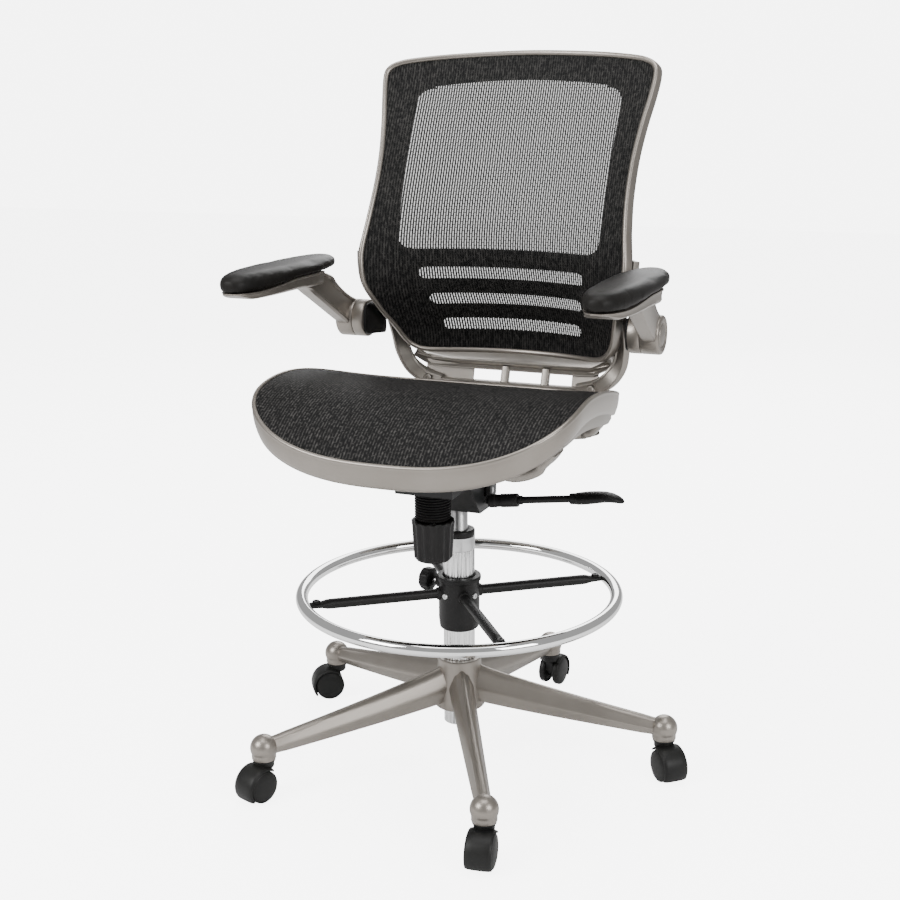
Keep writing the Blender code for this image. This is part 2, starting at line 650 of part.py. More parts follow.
def lever(black, yoke_pivot, rod_pivot):
    finger_low = CYLINDER_TOP_Z + 0.0085 + GAP
    yoke = rod(0.0105, along_lever(0.0), along_lever(0.046), 16)
    yoke = add("lever_yoke", yoke, black, yoke_pivot)
    post_x = HOUSING_HALF_W + 0.001
    join(yoke, block((post_x, -0.0048, LEVER_Z - 0.004), (post_x + 0.008, 0.0048, finger_low + 0.005)),
         block((-0.005, -0.0055, finger_low), (post_x + 0.0074, 0.0055, finger_low + 0.006)))
    cut(yoke, rod(LEVER_ROD_R + GAP, along_lever(0.009), along_lever(0.06), 14))

    add("lever_rod", rod(LEVER_ROD_R, along_lever(0.010), along_lever(LEVER_ROD_END), 14), black,
        rod_pivot)
    start = LEVER_ROD_END + GAP
    stations = ((0.000, 0.0165, 0.0165, 0.000), (0.010, 0.0175, 0.0170, 0.000),
                (0.011, 0.0260, 0.0185, 0.000), (0.034, 0.0340, 0.0180, 0.001),
                (0.056, 0.0330, 0.0150, 0.0015), (0.072, 0.0250, 0.0105, -0.002),
                (0.080, 0.0140, 0.0060, -0.006), (0.082, 0.0060, 0.0030, -0.0075))
    stretch = PADDLE_LENGTH / stations[-1][0]
    path = [along_lever(start + s * stretch, 0.0, lift) for s, _, _, lift in stations]
    sections = [ellipse(w, h, 12) for _, w, h, _ in stations]
    add("lever_paddle", bar(path, sections, Vector((0, 0, 1))), black, rod_pivot)


def plate_and_shaft(black, steel, post, tilt):
    side = HOUSING_HALF_W + 0.0010
    flange = 0.003
    plate = add("seat_plate", block((-PLATE_HALF_W, PLATE_FRONT_Y, PLATE_Z),
                                    (PLATE_HALF_W, PLATE_REAR_Y, PLATE_Z + PLATE_T)), black, tilt,
                smooth=False)
    for x in (-side - flange, side):
        join(plate, block((x, TILT_Y - 0.020, TILT_Z - 0.011),
                          (x + flange, TILT_Y + 0.016, PLATE_Z + 0.001)))
    cut(plate, rod(SHAFT_R + RUN, (-0.1, TILT_Y, TILT_Z), (0.1, TILT_Y, TILT_Z)))
    reach = side + flange + 0.004
    add("tilt_shaft", rod(SHAFT_R, (-reach, TILT_Y, TILT_Z), (reach, TILT_Y, TILT_Z)), steel, post)


# ---------------------------------------------------------------- seat
def rim_height(y):
    """The top of the seat's rim: a waterfall front, a crest before mid-seat, a fall to the rear."""
    u = (y - SEAT_WIDEST_Y) / 0.25
    return SEAT_MID_Z + 0.0395 * u - 0.1279 * u ** 2 + 0.0652 * u ** 3 - 0.0103 * u ** 4


def seat_outline(turn):
    """A point of the seat's outline seen from above, for a turn that starts at +X."""
    c, s = math.cos(turn), math.sin(turn)
    power = SEAT_FRONT_POWER if s < 0 else SEAT_REAR_POWER
    reach = (SEAT_WIDEST_Y - SEAT_FRONT_Y) if s < 0 else (SEAT_REAR_Y - SEAT_WIDEST_Y)
    x = SEAT_HALF_W * math.copysign(abs(c) ** (2 / power), c)
    y = SEAT_WIDEST_Y + reach * math.copysign(abs(s) ** (2 / power), s)
    return Vector((x, y, 0.0))


def seat_loop(count):
    """Points spaced evenly round the seat's outline, and the way inwards at each."""
    fine = [seat_outline(math.tau * step / 720) for step in range(720)]
    lengths = [0.0]
    for step in range(720):
        lengths.append(lengths[-1] + (fine[(step + 1) % 720] - fine[step]).length)
    points, here = [], 0
    for step in range(count):
        wanted = lengths[-1] * step / count
        while lengths[here + 1] < wanted:
            here += 1
        share = (wanted - lengths[here]) / (lengths[here + 1] - lengths[here])
        points.append(fine[here].lerp(fine[(here + 1) % 720], share))
    inward = []
    for step in range(count):
        along = (points[(step + 1) % count] - points[step - 1]).normalized()
        inward.append(Vector((-along.y, along.x, 0.0)))
    return points, inward


def seat_rim_rings(count, section):
    points, inward = seat_loop(count)
    rings = []
    for point, into in zip(points, inward):
        rings.append([point + into * a + Vector((0, 0, rim_height(point.y) + b)) for a, b in section])
    return rings


def seat(paint, fabric, cast, tilt):
    section = ((0.0005, -0.0030), (0.0030, 0.0), (RIM_T - 0.003, -0.0010), (RIM_T, -0.0045),
               (RIM_T, -0.0160), (RIM_T - 0.002, -RIM_H + 0.003), (0.0085, -RIM_H),
               (0.0020, -RIM_H * 0.55))
    add("seat_frame", loft(seat_rim_rings(56, section), closed=True), paint, tilt)

    points, inward = seat_loop(44)
    edge = [point + into * (RIM_T + GAP + 0.0007) for point, into in zip(points, inward)]
    steps = [rim_height(point.y) - rim_height(spot.y) for point, spot in zip(points, edge)]
    middle = Vector((0.0, sum(p.y for p in edge) / len(edge), 0.0))
    shares = (1.0, 0.80, 0.55, 0.28)
    top, bottom = [], []
    for share in shares:
        for side, drop in ((top, 0.0), (bottom, MESH_T)):
            ring = []
            for point, step in zip(edge, steps):
                spot = middle.lerp(point, share)
                sag = SEAT_SAG * (1 - share * share) + 0.005 + drop
                level = rim_height(spot.y) + step * share ** 8
                ring.append(Vector((spot.x, spot.y, level - sag)))
            side.append(ring)
    centre_z = rim_height(middle.y) - SEAT_SAG - 0.005
    bm = bmesh.new()
    rings = [[bm.verts.new(p) for p in ring] for ring in top[::-1] + bottom]
    for low, high in zip(rings, rings[1:]):
        for step in range(len(low)):
            after = (step + 1) % len(low)
            bm.faces.new((low[step], high[step], high[after], low[after]))
    for ring, z in ((rings[0], centre_z), (rings[-1], centre_z - MESH_T)):
        hub = bm.verts.new((middle.x, middle.y, z))
        for step in range(len(ring)):
            bm.faces.new((ring[step], ring[(step + 1) % len(ring)], hub))
    bmesh.ops.recalc_face_normals(bm, faces=bm.faces)
    add("seat_mesh", bm, fabric, tilt)

    seat_bracket(cast, tilt)


def rectangle(width, height):
    return [(a * width / 2, b * height / 2) for a, b in ((-1, -1), (1, -1), (1, 1), (-1, 1))]


def seat_half_width(y):
    """Half the seat's width at a place along it."""
    reach = (SEAT_WIDEST_Y - SEAT_FRONT_Y) if y < SEAT_WIDEST_Y else (SEAT_REAR_Y - SEAT_WIDEST_Y)
    power = SEAT_FRONT_POWER if y < SEAT_WIDEST_Y else SEAT_REAR_POWER
    return SEAT_HALF_W * (1 - (abs(y - SEAT_WIDEST_Y) / reach) ** power) ** (1 / power)


def seat_bracket(cast, tilt):
    """The casting between the plate and the rim: a pad and four arms that rise to the rim."""
    low = PLATE_Z + PLATE_T + GAP
    thick = 0.012
    pad = block((-PLATE_HALF_W, PLATE_FRONT_Y + 0.01, low),
                (PLATE_HALF_W, PLATE_REAR_Y - 0.005, low + thick))
    bracket = add("seat_bracket", pad, cast, tilt)
    for side in (-1, 1):
        for y, root_y, spread in ((-0.180, -0.085, 0.056), (0.085, 0.045, 0.044)):
            end_x = min(seat_half_width(y - spread / 2), seat_half_width(y + spread / 2)) - 0.018
            under = min(rim_height(y - spread / 2), rim_height(y + spread / 2)) - RIM_H - GAP
            path = [Vector((side * 0.050, root_y, low + 0.008)),
                    Vector((side * 0.110, (root_y + y) / 2, low + 0.010)),
                    Vector((side * 0.170, y, low + 0.014)),
                    Vector((side * (end_x - 0.014), y, under - 0.026)),
                    Vector((side * end_x, y, under - 0.009))]
            sections = [rectangle(w, h) for w, h in ((0.050, 0.014), (0.045, 0.016), (spread, 0.018),
                                                     (spread, 0.018), (spread - 0.008, 0.012))]
            join(bracket, bar(path, sections, Vector((0, 0, 1))))


# ---------------------------------------------------------------- back
def along_table(table, column, z):
    """A smooth value at height z from rows that start with their height."""
    rows = len(table)
    index = 0
    while index < rows - 2 and z > table[index + 1][0]:
        index += 1
    z0, z1 = table[index][0], table[index + 1][0]
    v0, v1 = table[index][column], table[index + 1][column]

    def slope(row):
        before, after = table[max(row - 1, 0)], table[min(row + 1, rows - 1)]
        return (after[column] - before[column]) / (after[0] - before[0])

    span = z1 - z0
    t = (z - z0) / span
    return ((2 * t ** 3 - 3 * t * t + 1) * v0 + (t ** 3 - 2 * t * t + t) * span * slope(index)
            + (3 * t * t - 2 * t ** 3) * v1 + (t ** 3 - t * t) * span * slope(index + 1))


def back_point(x, z, behind=0.0):
    """A point of the back's front surface, or behind it along the surface's normal."""
    middle = along_table(BACK_SHAPE, 1, z)
    bend = along_table(BACK_SHAPE, 2, z)
    step = 0.002
    rise = (along_table(BACK_SHAPE, 1, z + step) - along_table(BACK_SHAPE, 1, z - step)) / (2 * step)
    normal = Vector((-2 * bend * x, -1.0, rise)).normalized()
    return Vector((x, middle - bend * x * x, z)) - normal * behind, normal


def back_outline(steps):
    """The rim's outer line in the (x, z) plane, right side up, over the top and down."""
    side = [(w, z) for z, w in BACK_RIM]
    right = [(0.0, BACK_BOTTOM_Z), (0.075, BACK_BOTTOM_Z + 0.0004)] + side
    right += [(0.110, BACK_TOP_Z - 0.0035), (0.0, BACK_TOP_Z)]
    left = [(-x, z) for x, z in reversed(right[1:-1])]
    flat = [Vector((x, z, 0.0)) for x, z in right + left]
    return smooth_path(flat, steps, closed=True)


def rim_rings(steps, section):
    outline = back_outline(steps)
    count = len(outline)
    rings = []
    for index, point in enumerate(outline):
        along = (outline[(index + 1) % count] - outline[index - 1]).normalized()
        centre, normal = back_point(point.x, point.y)
        tangent = Vector((along.x, 0.0, along.y))
        tangent = (tangent - normal * tangent.dot(normal)).normalized()
        inward = normal.cross(tangent).normalized()
        rings.append([centre + inward * a - normal * b for a, b in section])
    return rings


def inner_half_width(z):
    """Half the width of the panels inside the rim, at a height between its corners."""
    inset = RIM_FACE + PANEL_GAP
    outer = along_table(BACK_RIM, 1, z)
    lean = (along_table(BACK_RIM, 1, z + 0.004) - along_table(BACK_RIM, 1, z - 0.004)) / 0.008
    return outer - inset * math.sqrt(1 + lean * lean)


def panel_rows():
    """Rows of the panels, from the bottom up: height in the middle, half width, rise at the ends."""
    inset = RIM_FACE + PANEL_GAP
    low, high = BACK_BOTTOM_Z + inset, BACK_TOP_Z - inset
    rows = [(low, 0.142, 0.0035)]
    heights = [z for slot in SLOTS_Z for z in slot]
    heights += [WINDOW_Z[0], 0.840, 0.890, 0.940, 0.990, WINDOW_Z[1], 1.0680]
    rows += [(z, inner_half_width(z), 0.0) for z in heights]
    rows.append((high, 0.186, -0.0095))
    return rows


def panel(shares, front, thickness, open_cell):
    """A sheet inside the rim, with the cells left out that open_cell(row, column) picks."""
    rows = panel_rows()
    bm = bmesh.new()
    layers = []
    for behind in (front, front + thickness):
        grid = []
        for z, half, rise in rows:
            line = []
            for share in shares:
                spot, _ = back_point(share * half, z + rise * share * share, behind)
                line.append(bm.verts.new(spot))
            grid.append(line)
        layers.append(grid)
    kept = {(r, c) for r in range(len(rows) - 1) for c in range(len(shares) - 1)
            if not open_cell(r, c)}
    for r, c in sorted(kept):
        corners = ((r, c), (r, c + 1), (r + 1, c + 1), (r + 1, c))
        for half in ((corners[0], corners[1], corners[2]), (corners[0], corners[2], corners[3])):
            bm.faces.new([layers[0][i][j] for i, j in half])
            bm.faces.new([layers[1][i][j] for i, j in reversed(half)])
        for side, beyond in enumerate(((r - 1, c), (r, c + 1), (r + 1, c), (r, c - 1))):
            if beyond not in kept:
                (i, j), (k, m) = corners[side], corners[(side + 1) % 4]
                bm.faces.new((layers[0][i][j], layers[1][i][j], layers[1][k][m], layers[0][k][m]))
    loose = [vert for vert in bm.verts if not vert.link_faces]
    bmesh.ops.delete(bm, geom=loose, context="VERTS")
    bmesh.ops.recalc_face_normals(bm, faces=bm.faces)
    return bm


def back(paint, black, fabric, cast, tilt):
    face, depth = RIM_FACE, RIM_DEPTH
    section = ((0.0, 0.0030), (0.0015, 0.0), (face, 0.0), (face, depth - 0.002),
               (face - 0.002, depth), (0.001, depth))
    add("back_frame", loft(rim_rings(2, section), closed=True), paint, tilt)

    shares = (-1.0, -WINDOW_SHARE, -SLOT_SHARE, -0.33, 0.0, 0.33, SLOT_SHARE, WINDOW_SHARE, 1.0)
    last = len(shares) - 2

    def hole(row, column):
        slot = row in (1, 3, 5) and 2 <= column <= last - 2
        window = 7 <= row <= 11 and 1 <= column <= last - 1
        return slot or window

    mesh_front = 0.0030
    shell_front = mesh_front + BACK_MESH_T + GAP
    add("back_mesh", panel(shares, mesh_front, BACK_MESH_T, lambda row, column: False), fabric, tilt)
    add("back_shell", panel(shares, shell_front, SHELL_T, hole), black, tilt)
    back_bracket(cast, tilt)


def back_bracket(cast, tilt):
    """The casting that carries the back: uprights, cross bars with ribs, a shelf and two rails."""
    crown = Vector((0, 0, 1))
    thick = 0.011
    path = [Vector((0.120, 0.219, 0.5640)), Vector((0.148, 0.219, 0.5720)),
            Vector((0.172, 0.217, 0.5880)), Vector((0.188, 0.2185, 0.6120))]
    for z, inset in ((0.642, 0.003), (0.670, 0.012), (0.700, 0.020), (0.735, 0.012), (0.784, 0.008)):
        spot, _ = back_point(along_table(BACK_RIM, 1, z) - inset, z, RIM_DEPTH + 0.0022 + thick / 2)
        path.append(spot)
    path = smooth_path(path, 2)
    pieces = []
    for side in (-1, 1):
        mirrored = [Vector((side * p.x, p.y, p.z)) for p in path]
        rings = []
        for index, point in enumerate(mirrored):
            before = mirrored[max(index - 1, 0)]
            after = mirrored[min(index + 1, len(mirrored) - 1)]
            along = (after - before).normalized()
            _, normal = back_point(point.x, max(point.z, 0.66))
            normal = (normal - along * normal.dot(along)).normalized()
            across = along.cross(normal)
            width = 0.026 if index < len(mirrored) - 1 else 0.018
            rings.append([point + across * a + normal * b for a, b in rectangle(width, thick)])
        pieces.append(loft(rings))
    frame = add("back_bracket", pieces[0], cast, tilt)
    join(frame, pieces[1])
    reach = 0.145
    for low, high, near in ((0.5885, 0.6030, 0.226), (0.5560, 0.5710, 0.214)):
        join(frame, block((-reach, near, low), (reach, near + 0.013, high), 0.003))
    for x in (-0.085, -0.03, 0.03, 0.085):
        join(frame, block((x - 0.005, 0.2172, 0.5665), (x + 0.005, 0.2343, 0.5935)))
    join(frame, block((-reach - 0.004, 0.2360, 0.5905), (reach + 0.004, 0.2850, 0.5945)))
    for side in (-1, 1):
        rail = [Vector((side * 0.100, 0.222, 0.5620)), Vector((side * 0.099, 0.211, 0.5400)),
                Vector((side * 0.092, 0.182, 0.5264)), Vector((side * 0.068, 0.110, 0.5262)),
                Vector((side * 0.060, PLATE_REAR_Y + 2 * GAP, 0.5262))]
        join(frame, bar(rail, [rectangle(0.028, 0.012)] * 5, crown))


# ---------------------------------------------------------------- arms
def arm_mount(side):
    """The black piece between the back bracket's upright and the fixed half of the arm's hub."""
    face = HUB_INNER_X - GAP
    stations = ((face, HUB_Y, HUB_Z, 0.047, 0.047), (face - 0.0045, HUB_Y + 0.002, HUB_Z, 0.043, 0.043),
                (0.213, HUB_Y + 0.014, HUB_Z - 0.004, 0.024, 0.038),
                (0.2095, HUB_Y + 0.032, HUB_Z - 0.008, 0.014, 0.034))
    rings = []
    for x, y, z, length, height in stations:
        turns = [math.tau * (step + 0.5) / 16 for step in range(16)]
        rings.append([Vector((side * x, y + length / 2 * math.cos(a), z + height / 2 * math.sin(a)))
                      for a in turns])
    return loft(rings)


def arms(paint, black, pad_skin, tilt, flips):
    for side, word in ((-1, "right"), (1, "left")):
        outward = (side, 0.0, 0.0)

        def at_hub(inner):
            return (side * inner, HUB_Y, HUB_Z)

        add(f"arm_mount_{word}", arm_mount(side), black, tilt)

        pin_end = HUB_W + ARM_HUB_W - 0.006
        hub = revolve(((0, 0), (HUB_R - 0.002, 0), (HUB_R, 0.002), (HUB_R, HUB_W - 0.0008),
                       (HUB_R - 0.0008, HUB_W), (PIVOT_R, HUB_W), (PIVOT_R, pin_end), (0, pin_end)), 24)
        add(f"arm_hub_{word}", turned(hub, outward, at_hub(HUB_INNER_X)), paint, tilt)

        flip = flips[side]
        start = HUB_INNER_X + HUB_W + GAP
        bore = PIVOT_R + GAP
        disc = revolve(((0, ARM_HUB_W - 0.005), (bore, ARM_HUB_W - 0.005), (bore, 0),
                        (HUB_R, 0), (HUB_R, ARM_HUB_W - 0.004), (HUB_R - 0.006, ARM_HUB_W),
                        (0.016, ARM_HUB_W), (0.013, ARM_HUB_W - 0.002), (0, ARM_HUB_W - 0.002)), 24)
        body = add(f"arm_body_{word}", turned(disc, outward, at_hub(start)), paint, flip)
        blade_x = start + ARM_HUB_W / 2
        path = smooth_path([Vector((side * (blade_x - 0.001), HUB_Y - 0.012, HUB_Z + 0.0095)),
                            Vector((side * (blade_x + 0.001), HUB_Y - 0.045, HUB_Z + 0.028)),
                            Vector((side * (blade_x + 0.006), 0.075, 0.729)),
                            Vector((side * PAD_X, 0.030, PAD_UNDER_Z - 0.0095))], 2)
        widths = (0.026, 0.025, 0.024, 0.023, 0.023, 0.024, 0.026)
        heights = (0.044, 0.047, 0.048, 0.048, 0.044, 0.030, 0.014)
        blade = bar(path, [ellipse(w, h, 10) for w, h in zip(widths, heights)], Vector((0, 0, 1)))
        join(body, blade, pad_solid(side, ((0.78, -0.0095), (0.90, -0.0060), (0.93, -0.0003)), 24))
        pad_rings = ((0.93, 0.0), (0.99, 0.004), (1.0, 0.011), (0.97, 0.020), (0.86, 0.0265),
                     (0.60, PAD_H + 0.001))
        add(f"arm_pad_{word}", pad_solid(side, pad_rings, 28), pad_skin, flip)


def pad_solid(side, rings, count):
    """A pad-shaped solid: superelliptic rings of (share of the outline, height over the carrier)."""
    made = []
    for share, height in rings:
        ring = []
        for step in range(count):
            turn = math.tau * step / count
            c, s = math.cos(turn), math.sin(turn)
            x = PAD_HALF_W * math.copysign(abs(c) ** 0.8, c)
            y = PAD_HALF_L * math.copysign(abs(s) ** 0.85, s)
            inset = (1 - share) * PAD_HALF_W
            x *= share
            y *= (PAD_HALF_L - inset) / PAD_HALF_L
            ring.append(Vector((side * PAD_X + x, PAD_Y + y, PAD_UNDER_Z + height)))
        made.append(ring)
    return loft(made)


# ---------------------------------------------------------------- the chair
def clear_scene():
    for piece in list(bpy.data.objects):
        bpy.data.objects.remove(piece)


def centre_footprint(chair):
    """Move the chair so that the middle of its plan lies on the world's origin."""
    bpy.context.view_layer.update()
    graph = bpy.context.evaluated_depsgraph_get()
    xs, ys = [], []
    for piece in bpy.context.scene.objects:
        if piece.type == "MESH" and not piece.hide_render:
            solid = piece.evaluated_get(graph)
            for corner in solid.bound_box:
                spot = solid.matrix_world @ Vector(corner)
                xs.append(spot.x)
                ys.append(spot.y)
    chair.location.x = round(-(min(xs) + max(xs)) / 2, 4)
    chair.location.y = round(-(min(ys) + max(ys)) / 2, 4)


def build_chair():
    clear_scene()
    silver = finish("silver_paint", (0.33, 0.30, 0.27), 0.38, 0.75)
    chrome = finish("chrome", (0.80, 0.80, 0.80), 0.08, 1.0)
    bright = finish("bright_aluminium", (0.62, 0.62, 0.62), 0.22, 1.0)
    steel = finish("zinc_steel", (0.50, 0.50, 0.50), 0.30, 1.0)
    black = finish("black_plastic", (0.018, 0.017, 0.016), 0.45, 0.0)
    black_steel = finish("black_steel", (0.015, 0.015, 0.016), 0.40, 0.3)
    rubber = finish("black_nylon", (0.022, 0.022, 0.021), 0.50, 0.0)
    fabric = finish("black_mesh", (0.020, 0.019, 0.018), 0.80, 0.0)
    pad_skin = finish("soft_black_skin", (0.020, 0.019, 0.018), 0.42, 0.0)

    chair = empty("chair", (0, 0, 0))
    slider = empty("ring_slide", (0, 0, RING_Z), chair)
    clamp = empty("clamp_turn", around(COLLAR_R, CLAMP_DEG, CLAMP_Z), slider)
    rod_pivot = empty("seat_swivel", (0, 0, COLUMN_BOTTOM_Z), chair)
    post = empty("seat_lift", (0, 0, CYLINDER_TOP_Z), rod_pivot)
    valve = empty("valve_slide", (0, 0, CYLINDER_TOP_Z), post)
    yoke = empty("lever_lift", (LEVER_X, 0, LEVER_Z), post)
    lever_slide = empty("lever_slide", (LEVER_X, 0, LEVER_Z), yoke)
    knob = empty("tension_turn", (0, KNOB_Y, KNOB_BOTTOM_Z), post)
    tilt = empty("tilt", (0, TILT_Y, TILT_Z), post)
    flips = {side: empty(f"arm_flip_{word}", (side * HUB_INNER_X, HUB_Y, HUB_Z), tilt)
             for side, word in ((-1, "right"), (1, "left"))}

    base(silver, chair)
    gas_lift(steel, bright, black, chair, rod_pivot, post, valve)
    casters(black, rubber, steel, chair)
    foot_ring(chrome, black, steel, slider, clamp)
    housing(black_steel, post)
    tension(black, steel, post, knob)
    lever(black, yoke, lever_slide)
    plate_and_shaft(black_steel, steel, post, tilt)
    seat(silver, fabric, silver, tilt)
    back(silver, black, fabric, silver, tilt)
    arms(silver, black, pad_skin, tilt, flips)
    centre_footprint(chair)


build_chair()
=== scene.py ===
"""Looks of a mesh drafting chair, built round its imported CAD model.

Points are in the chair's own coordinates, whose Z axis is the axis of the gas lift, and AXIS
moves them into the row frame.  Every piece rides on a CAD body.
"""
import json
import math

import bmesh
import bpy
from mathutils import Matrix, Vector


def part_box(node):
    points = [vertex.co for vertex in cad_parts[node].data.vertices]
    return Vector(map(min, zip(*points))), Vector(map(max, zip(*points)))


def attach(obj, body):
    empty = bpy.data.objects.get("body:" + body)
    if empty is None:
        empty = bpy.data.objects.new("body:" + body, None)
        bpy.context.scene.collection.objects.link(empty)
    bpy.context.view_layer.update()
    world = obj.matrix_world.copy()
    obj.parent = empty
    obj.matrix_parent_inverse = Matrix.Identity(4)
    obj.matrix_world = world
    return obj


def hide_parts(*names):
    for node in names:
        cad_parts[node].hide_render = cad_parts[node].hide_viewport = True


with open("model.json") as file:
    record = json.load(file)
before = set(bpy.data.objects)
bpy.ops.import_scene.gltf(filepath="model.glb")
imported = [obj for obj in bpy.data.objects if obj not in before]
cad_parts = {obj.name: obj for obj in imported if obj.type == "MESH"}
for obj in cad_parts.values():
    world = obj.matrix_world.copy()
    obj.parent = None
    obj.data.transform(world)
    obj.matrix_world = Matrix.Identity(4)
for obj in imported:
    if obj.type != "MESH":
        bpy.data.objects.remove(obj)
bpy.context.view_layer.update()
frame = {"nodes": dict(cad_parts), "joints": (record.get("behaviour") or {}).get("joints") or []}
JOINTS = {joint["name"]: joint for joint in frame["joints"]}
AXIS = Vector((*JOINTS["seat_swivel"]["pos_m"][:2], 0.0))
UP = Vector((0, 0, 1))


def joint_place(name):
    return Vector(JOINTS[name]["pos_m"]) - AXIS


def node_box(node):
    low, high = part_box(node)
    return low - AXIS, high - AXIS


# ---------------------------------------------------------------- materials
def shader_of(name, colour, roughness, metallic=0.0, specular=0.5, coat=0.0, coat_roughness=0.2):
    material = bpy.data.materials.new(name)
    material.use_nodes = True
    shader = material.node_tree.nodes["Principled BSDF"]
    for socket, value in (("Base Color", (*colour, 1.0)), ("Roughness", roughness), ("Metallic", metallic),
            ("Specular IOR Level", specular), ("Coat Weight", coat), ("Coat Roughness", coat_roughness)):
        shader.inputs[socket].default_value = value
    return material, material.node_tree.nodes, material.node_tree.links, shader


def node_of(nodes, kind, **values):
    """A shader node with some of its inputs set; an underscore stands for a space."""
    made = nodes.new("ShaderNode" + kind)
    for name, value in values.items():
        made.inputs[name.replace("_", " ")].default_value = value
    return made


def noise(nodes, links, scale, detail=2.0, stretch=(1, 1, 1)):
    place = nodes.new("ShaderNodeTexCoord")
    mapping = node_of(nodes, "Mapping", Scale=stretch)
    texture = node_of(nodes, "TexNoise", Scale=scale, Detail=detail)
    links.new(place.outputs["Object"], mapping.inputs["Vector"])
    links.new(mapping.outputs["Vector"], texture.inputs["Vector"])
    return texture.outputs["Fac"]


def ramp(nodes, links, source, low, high, start=0.3, end=0.7):
    """A colour ramp between two colours."""
    made = nodes.new("ShaderNodeValToRGB")
    for element, position, colour in zip(made.color_ramp.elements, (start, end), (low, high)):
        element.position = position
        element.color = (*colour, 1.0)
    links.new(source, made.inputs["Fac"])
    return made.outputs["Color"]


def spread(nodes, links, source, low, high):
    made = node_of(nodes, "MapRange", To_Min=low, To_Max=high)
    links.new(source, made.inputs["Value"])
    return made.outputs["Result"]


def bump(nodes, links, shader, source, strength, distance):
    made = node_of(nodes, "Bump", Strength=strength, Distance=distance)
    links.new(source, made.inputs["Height"])
    links.new(made.outputs["Normal"], shader.inputs["Normal"])


def mottled(name, low, high, rough_low, rough_high, grain, relief, depth, stretch=(1, 1, 1), **basics):
    """A finish whose colour and roughness wander slightly over a fine grain."""
    middle = tuple((a + b) / 2 for a, b in zip(low, high))
    material, nodes, links, shader = shader_of(name, middle, (rough_low + rough_high) / 2, **basics)
    cloud = noise(nodes, links, 14.0, 3.0, stretch)
    links.new(ramp(nodes, links, cloud, low, high), shader.inputs["Base Color"])
    links.new(spread(nodes, links, cloud, rough_low, rough_high), shader.inputs["Roughness"])
    bump(nodes, links, shader, noise(nodes, links, grain, 2.0, stretch), relief, depth)
    return material


SILVER = mottled("silver_paint", (0.25, 0.226, 0.2), (0.29, 0.263, 0.234), 0.3, 0.38, 1500.0, 0.1, 0.0004,
        metallic=0.75, coat=0.12, coat_roughness=0.3)
CAST = mottled("cast_silver", (0.225, 0.207, 0.185), (0.285, 0.262, 0.235), 0.32, 0.42, 900.0, 0.16, 0.0006,
        metallic=0.72)
CHROME = mottled("chrome", (0.86, 0.86, 0.86), (0.92, 0.92, 0.91), 0.03, 0.07, 60.0, 0.01, 0.0002,
        metallic=1.0)
BRIGHT = mottled("bright_aluminium", (0.74, 0.74, 0.74), (0.86, 0.86, 0.86), 0.12, 0.2, 700.0, 0.05, 0.0003,
        stretch=(1, 1, 0.05), metallic=1.0)
ZINC = mottled("zinc_steel", (0.52, 0.52, 0.52), (0.66, 0.66, 0.66), 0.22, 0.34, 400.0, 0.05, 0.0003,
        metallic=1.0)
BLACK = mottled("black_plastic", (0.006, 0.006, 0.006), (0.011, 0.01, 0.01), 0.36, 0.48, 2200.0, 0.25,
        0.0004, specular=0.22)
POWDER = mottled("black_powder_coat", (0.006, 0.006, 0.006), (0.01, 0.01, 0.01), 0.36, 0.46, 1600.0, 0.3,
        0.0005, specular=0.35)
NYLON = mottled("black_nylon", (0.007, 0.007, 0.007), (0.013, 0.013, 0.012), 0.38, 0.5, 1200.0, 0.18,
        0.0005, specular=0.24)
SKIN = mottled("soft_black_skin", (0.006, 0.0055, 0.005), (0.01, 0.009, 0.008), 0.42, 0.52, 1100.0, 0.22,
        0.0005, specular=0.16)


def weave(name, thread, thread_highlight, cell_w, cell_h, mortar, see_through):
    """An open knit: upright cells in staggered columns, on a UV map in metres; its threads are painted
    lighter, a painted highlight for light catching them.
    """
    material, nodes, links, shader = shader_of(name, thread, 0.6, specular=0.12)
    uv = nodes.new("ShaderNodeUVMap")
    uv.uv_map = "metres"
    apart = nodes.new("ShaderNodeSeparateXYZ")
    turned = nodes.new("ShaderNodeCombineXYZ")
    links.new(uv.outputs["UV"], apart.inputs["Vector"])
    stretched = nodes.new("ShaderNodeMath")
    stretched.operation = "MULTIPLY"
    stretched.inputs[1].default_value = 2.0
    links.new(apart.outputs["Y"], stretched.inputs[0])
    links.new(stretched.outputs["Value"], turned.inputs["X"])
    links.new(apart.outputs["X"], turned.inputs["Y"])
    brick = node_of(nodes, "TexBrick", Scale=1.0, Mortar_Size=mortar, Mortar_Smooth=0.35,
            Brick_Width=2.0 * cell_h, Row_Height=cell_w)
    brick.offset = 0.5
    links.new(turned.outputs["Vector"], brick.inputs["Vector"])
    # painted highlight: a cloud of noise times the thread mask lifts the threads from the dark thread colour
    # towards the lighter second colour
    cloud = noise(nodes, links, 260.0, 3.0, (1, 1, 0.35))
    lit = nodes.new("ShaderNodeMath")
    lit.operation = "MULTIPLY"
    links.new(cloud, lit.inputs[0])
    links.new(spread(nodes, links, brick.outputs["Fac"], 0.72, 1.12), lit.inputs[1])
    colour = ramp(nodes, links, lit.outputs["Value"], thread, thread_highlight, 0.42, 0.8)
    links.new(colour, shader.inputs["Base Color"])
    bump(nodes, links, shader, brick.outputs["Fac"], 0.6, 0.0009)
    if see_through:
        links.new(spread(nodes, links, brick.outputs["Fac"], see_through, 1.0), shader.inputs["Alpha"])
    return material


# the second colour of each weave is a painted highlight on the threads
BACK_WEAVE = weave("back_weave", (0.005, 0.005, 0.005), (0.04, 0.038, 0.036), 0.0042, 0.01, 0.0017, 0.8)
# the seat's cells are not opened and keep the dark thread colour: painted shade for the shadowed space seen
# through the knit
SEAT_WEAVE = weave("seat_weave", (0.004, 0.004, 0.004), (0.066, 0.063, 0.06), 0.0046, 0.012, 0.0013, 0.0)


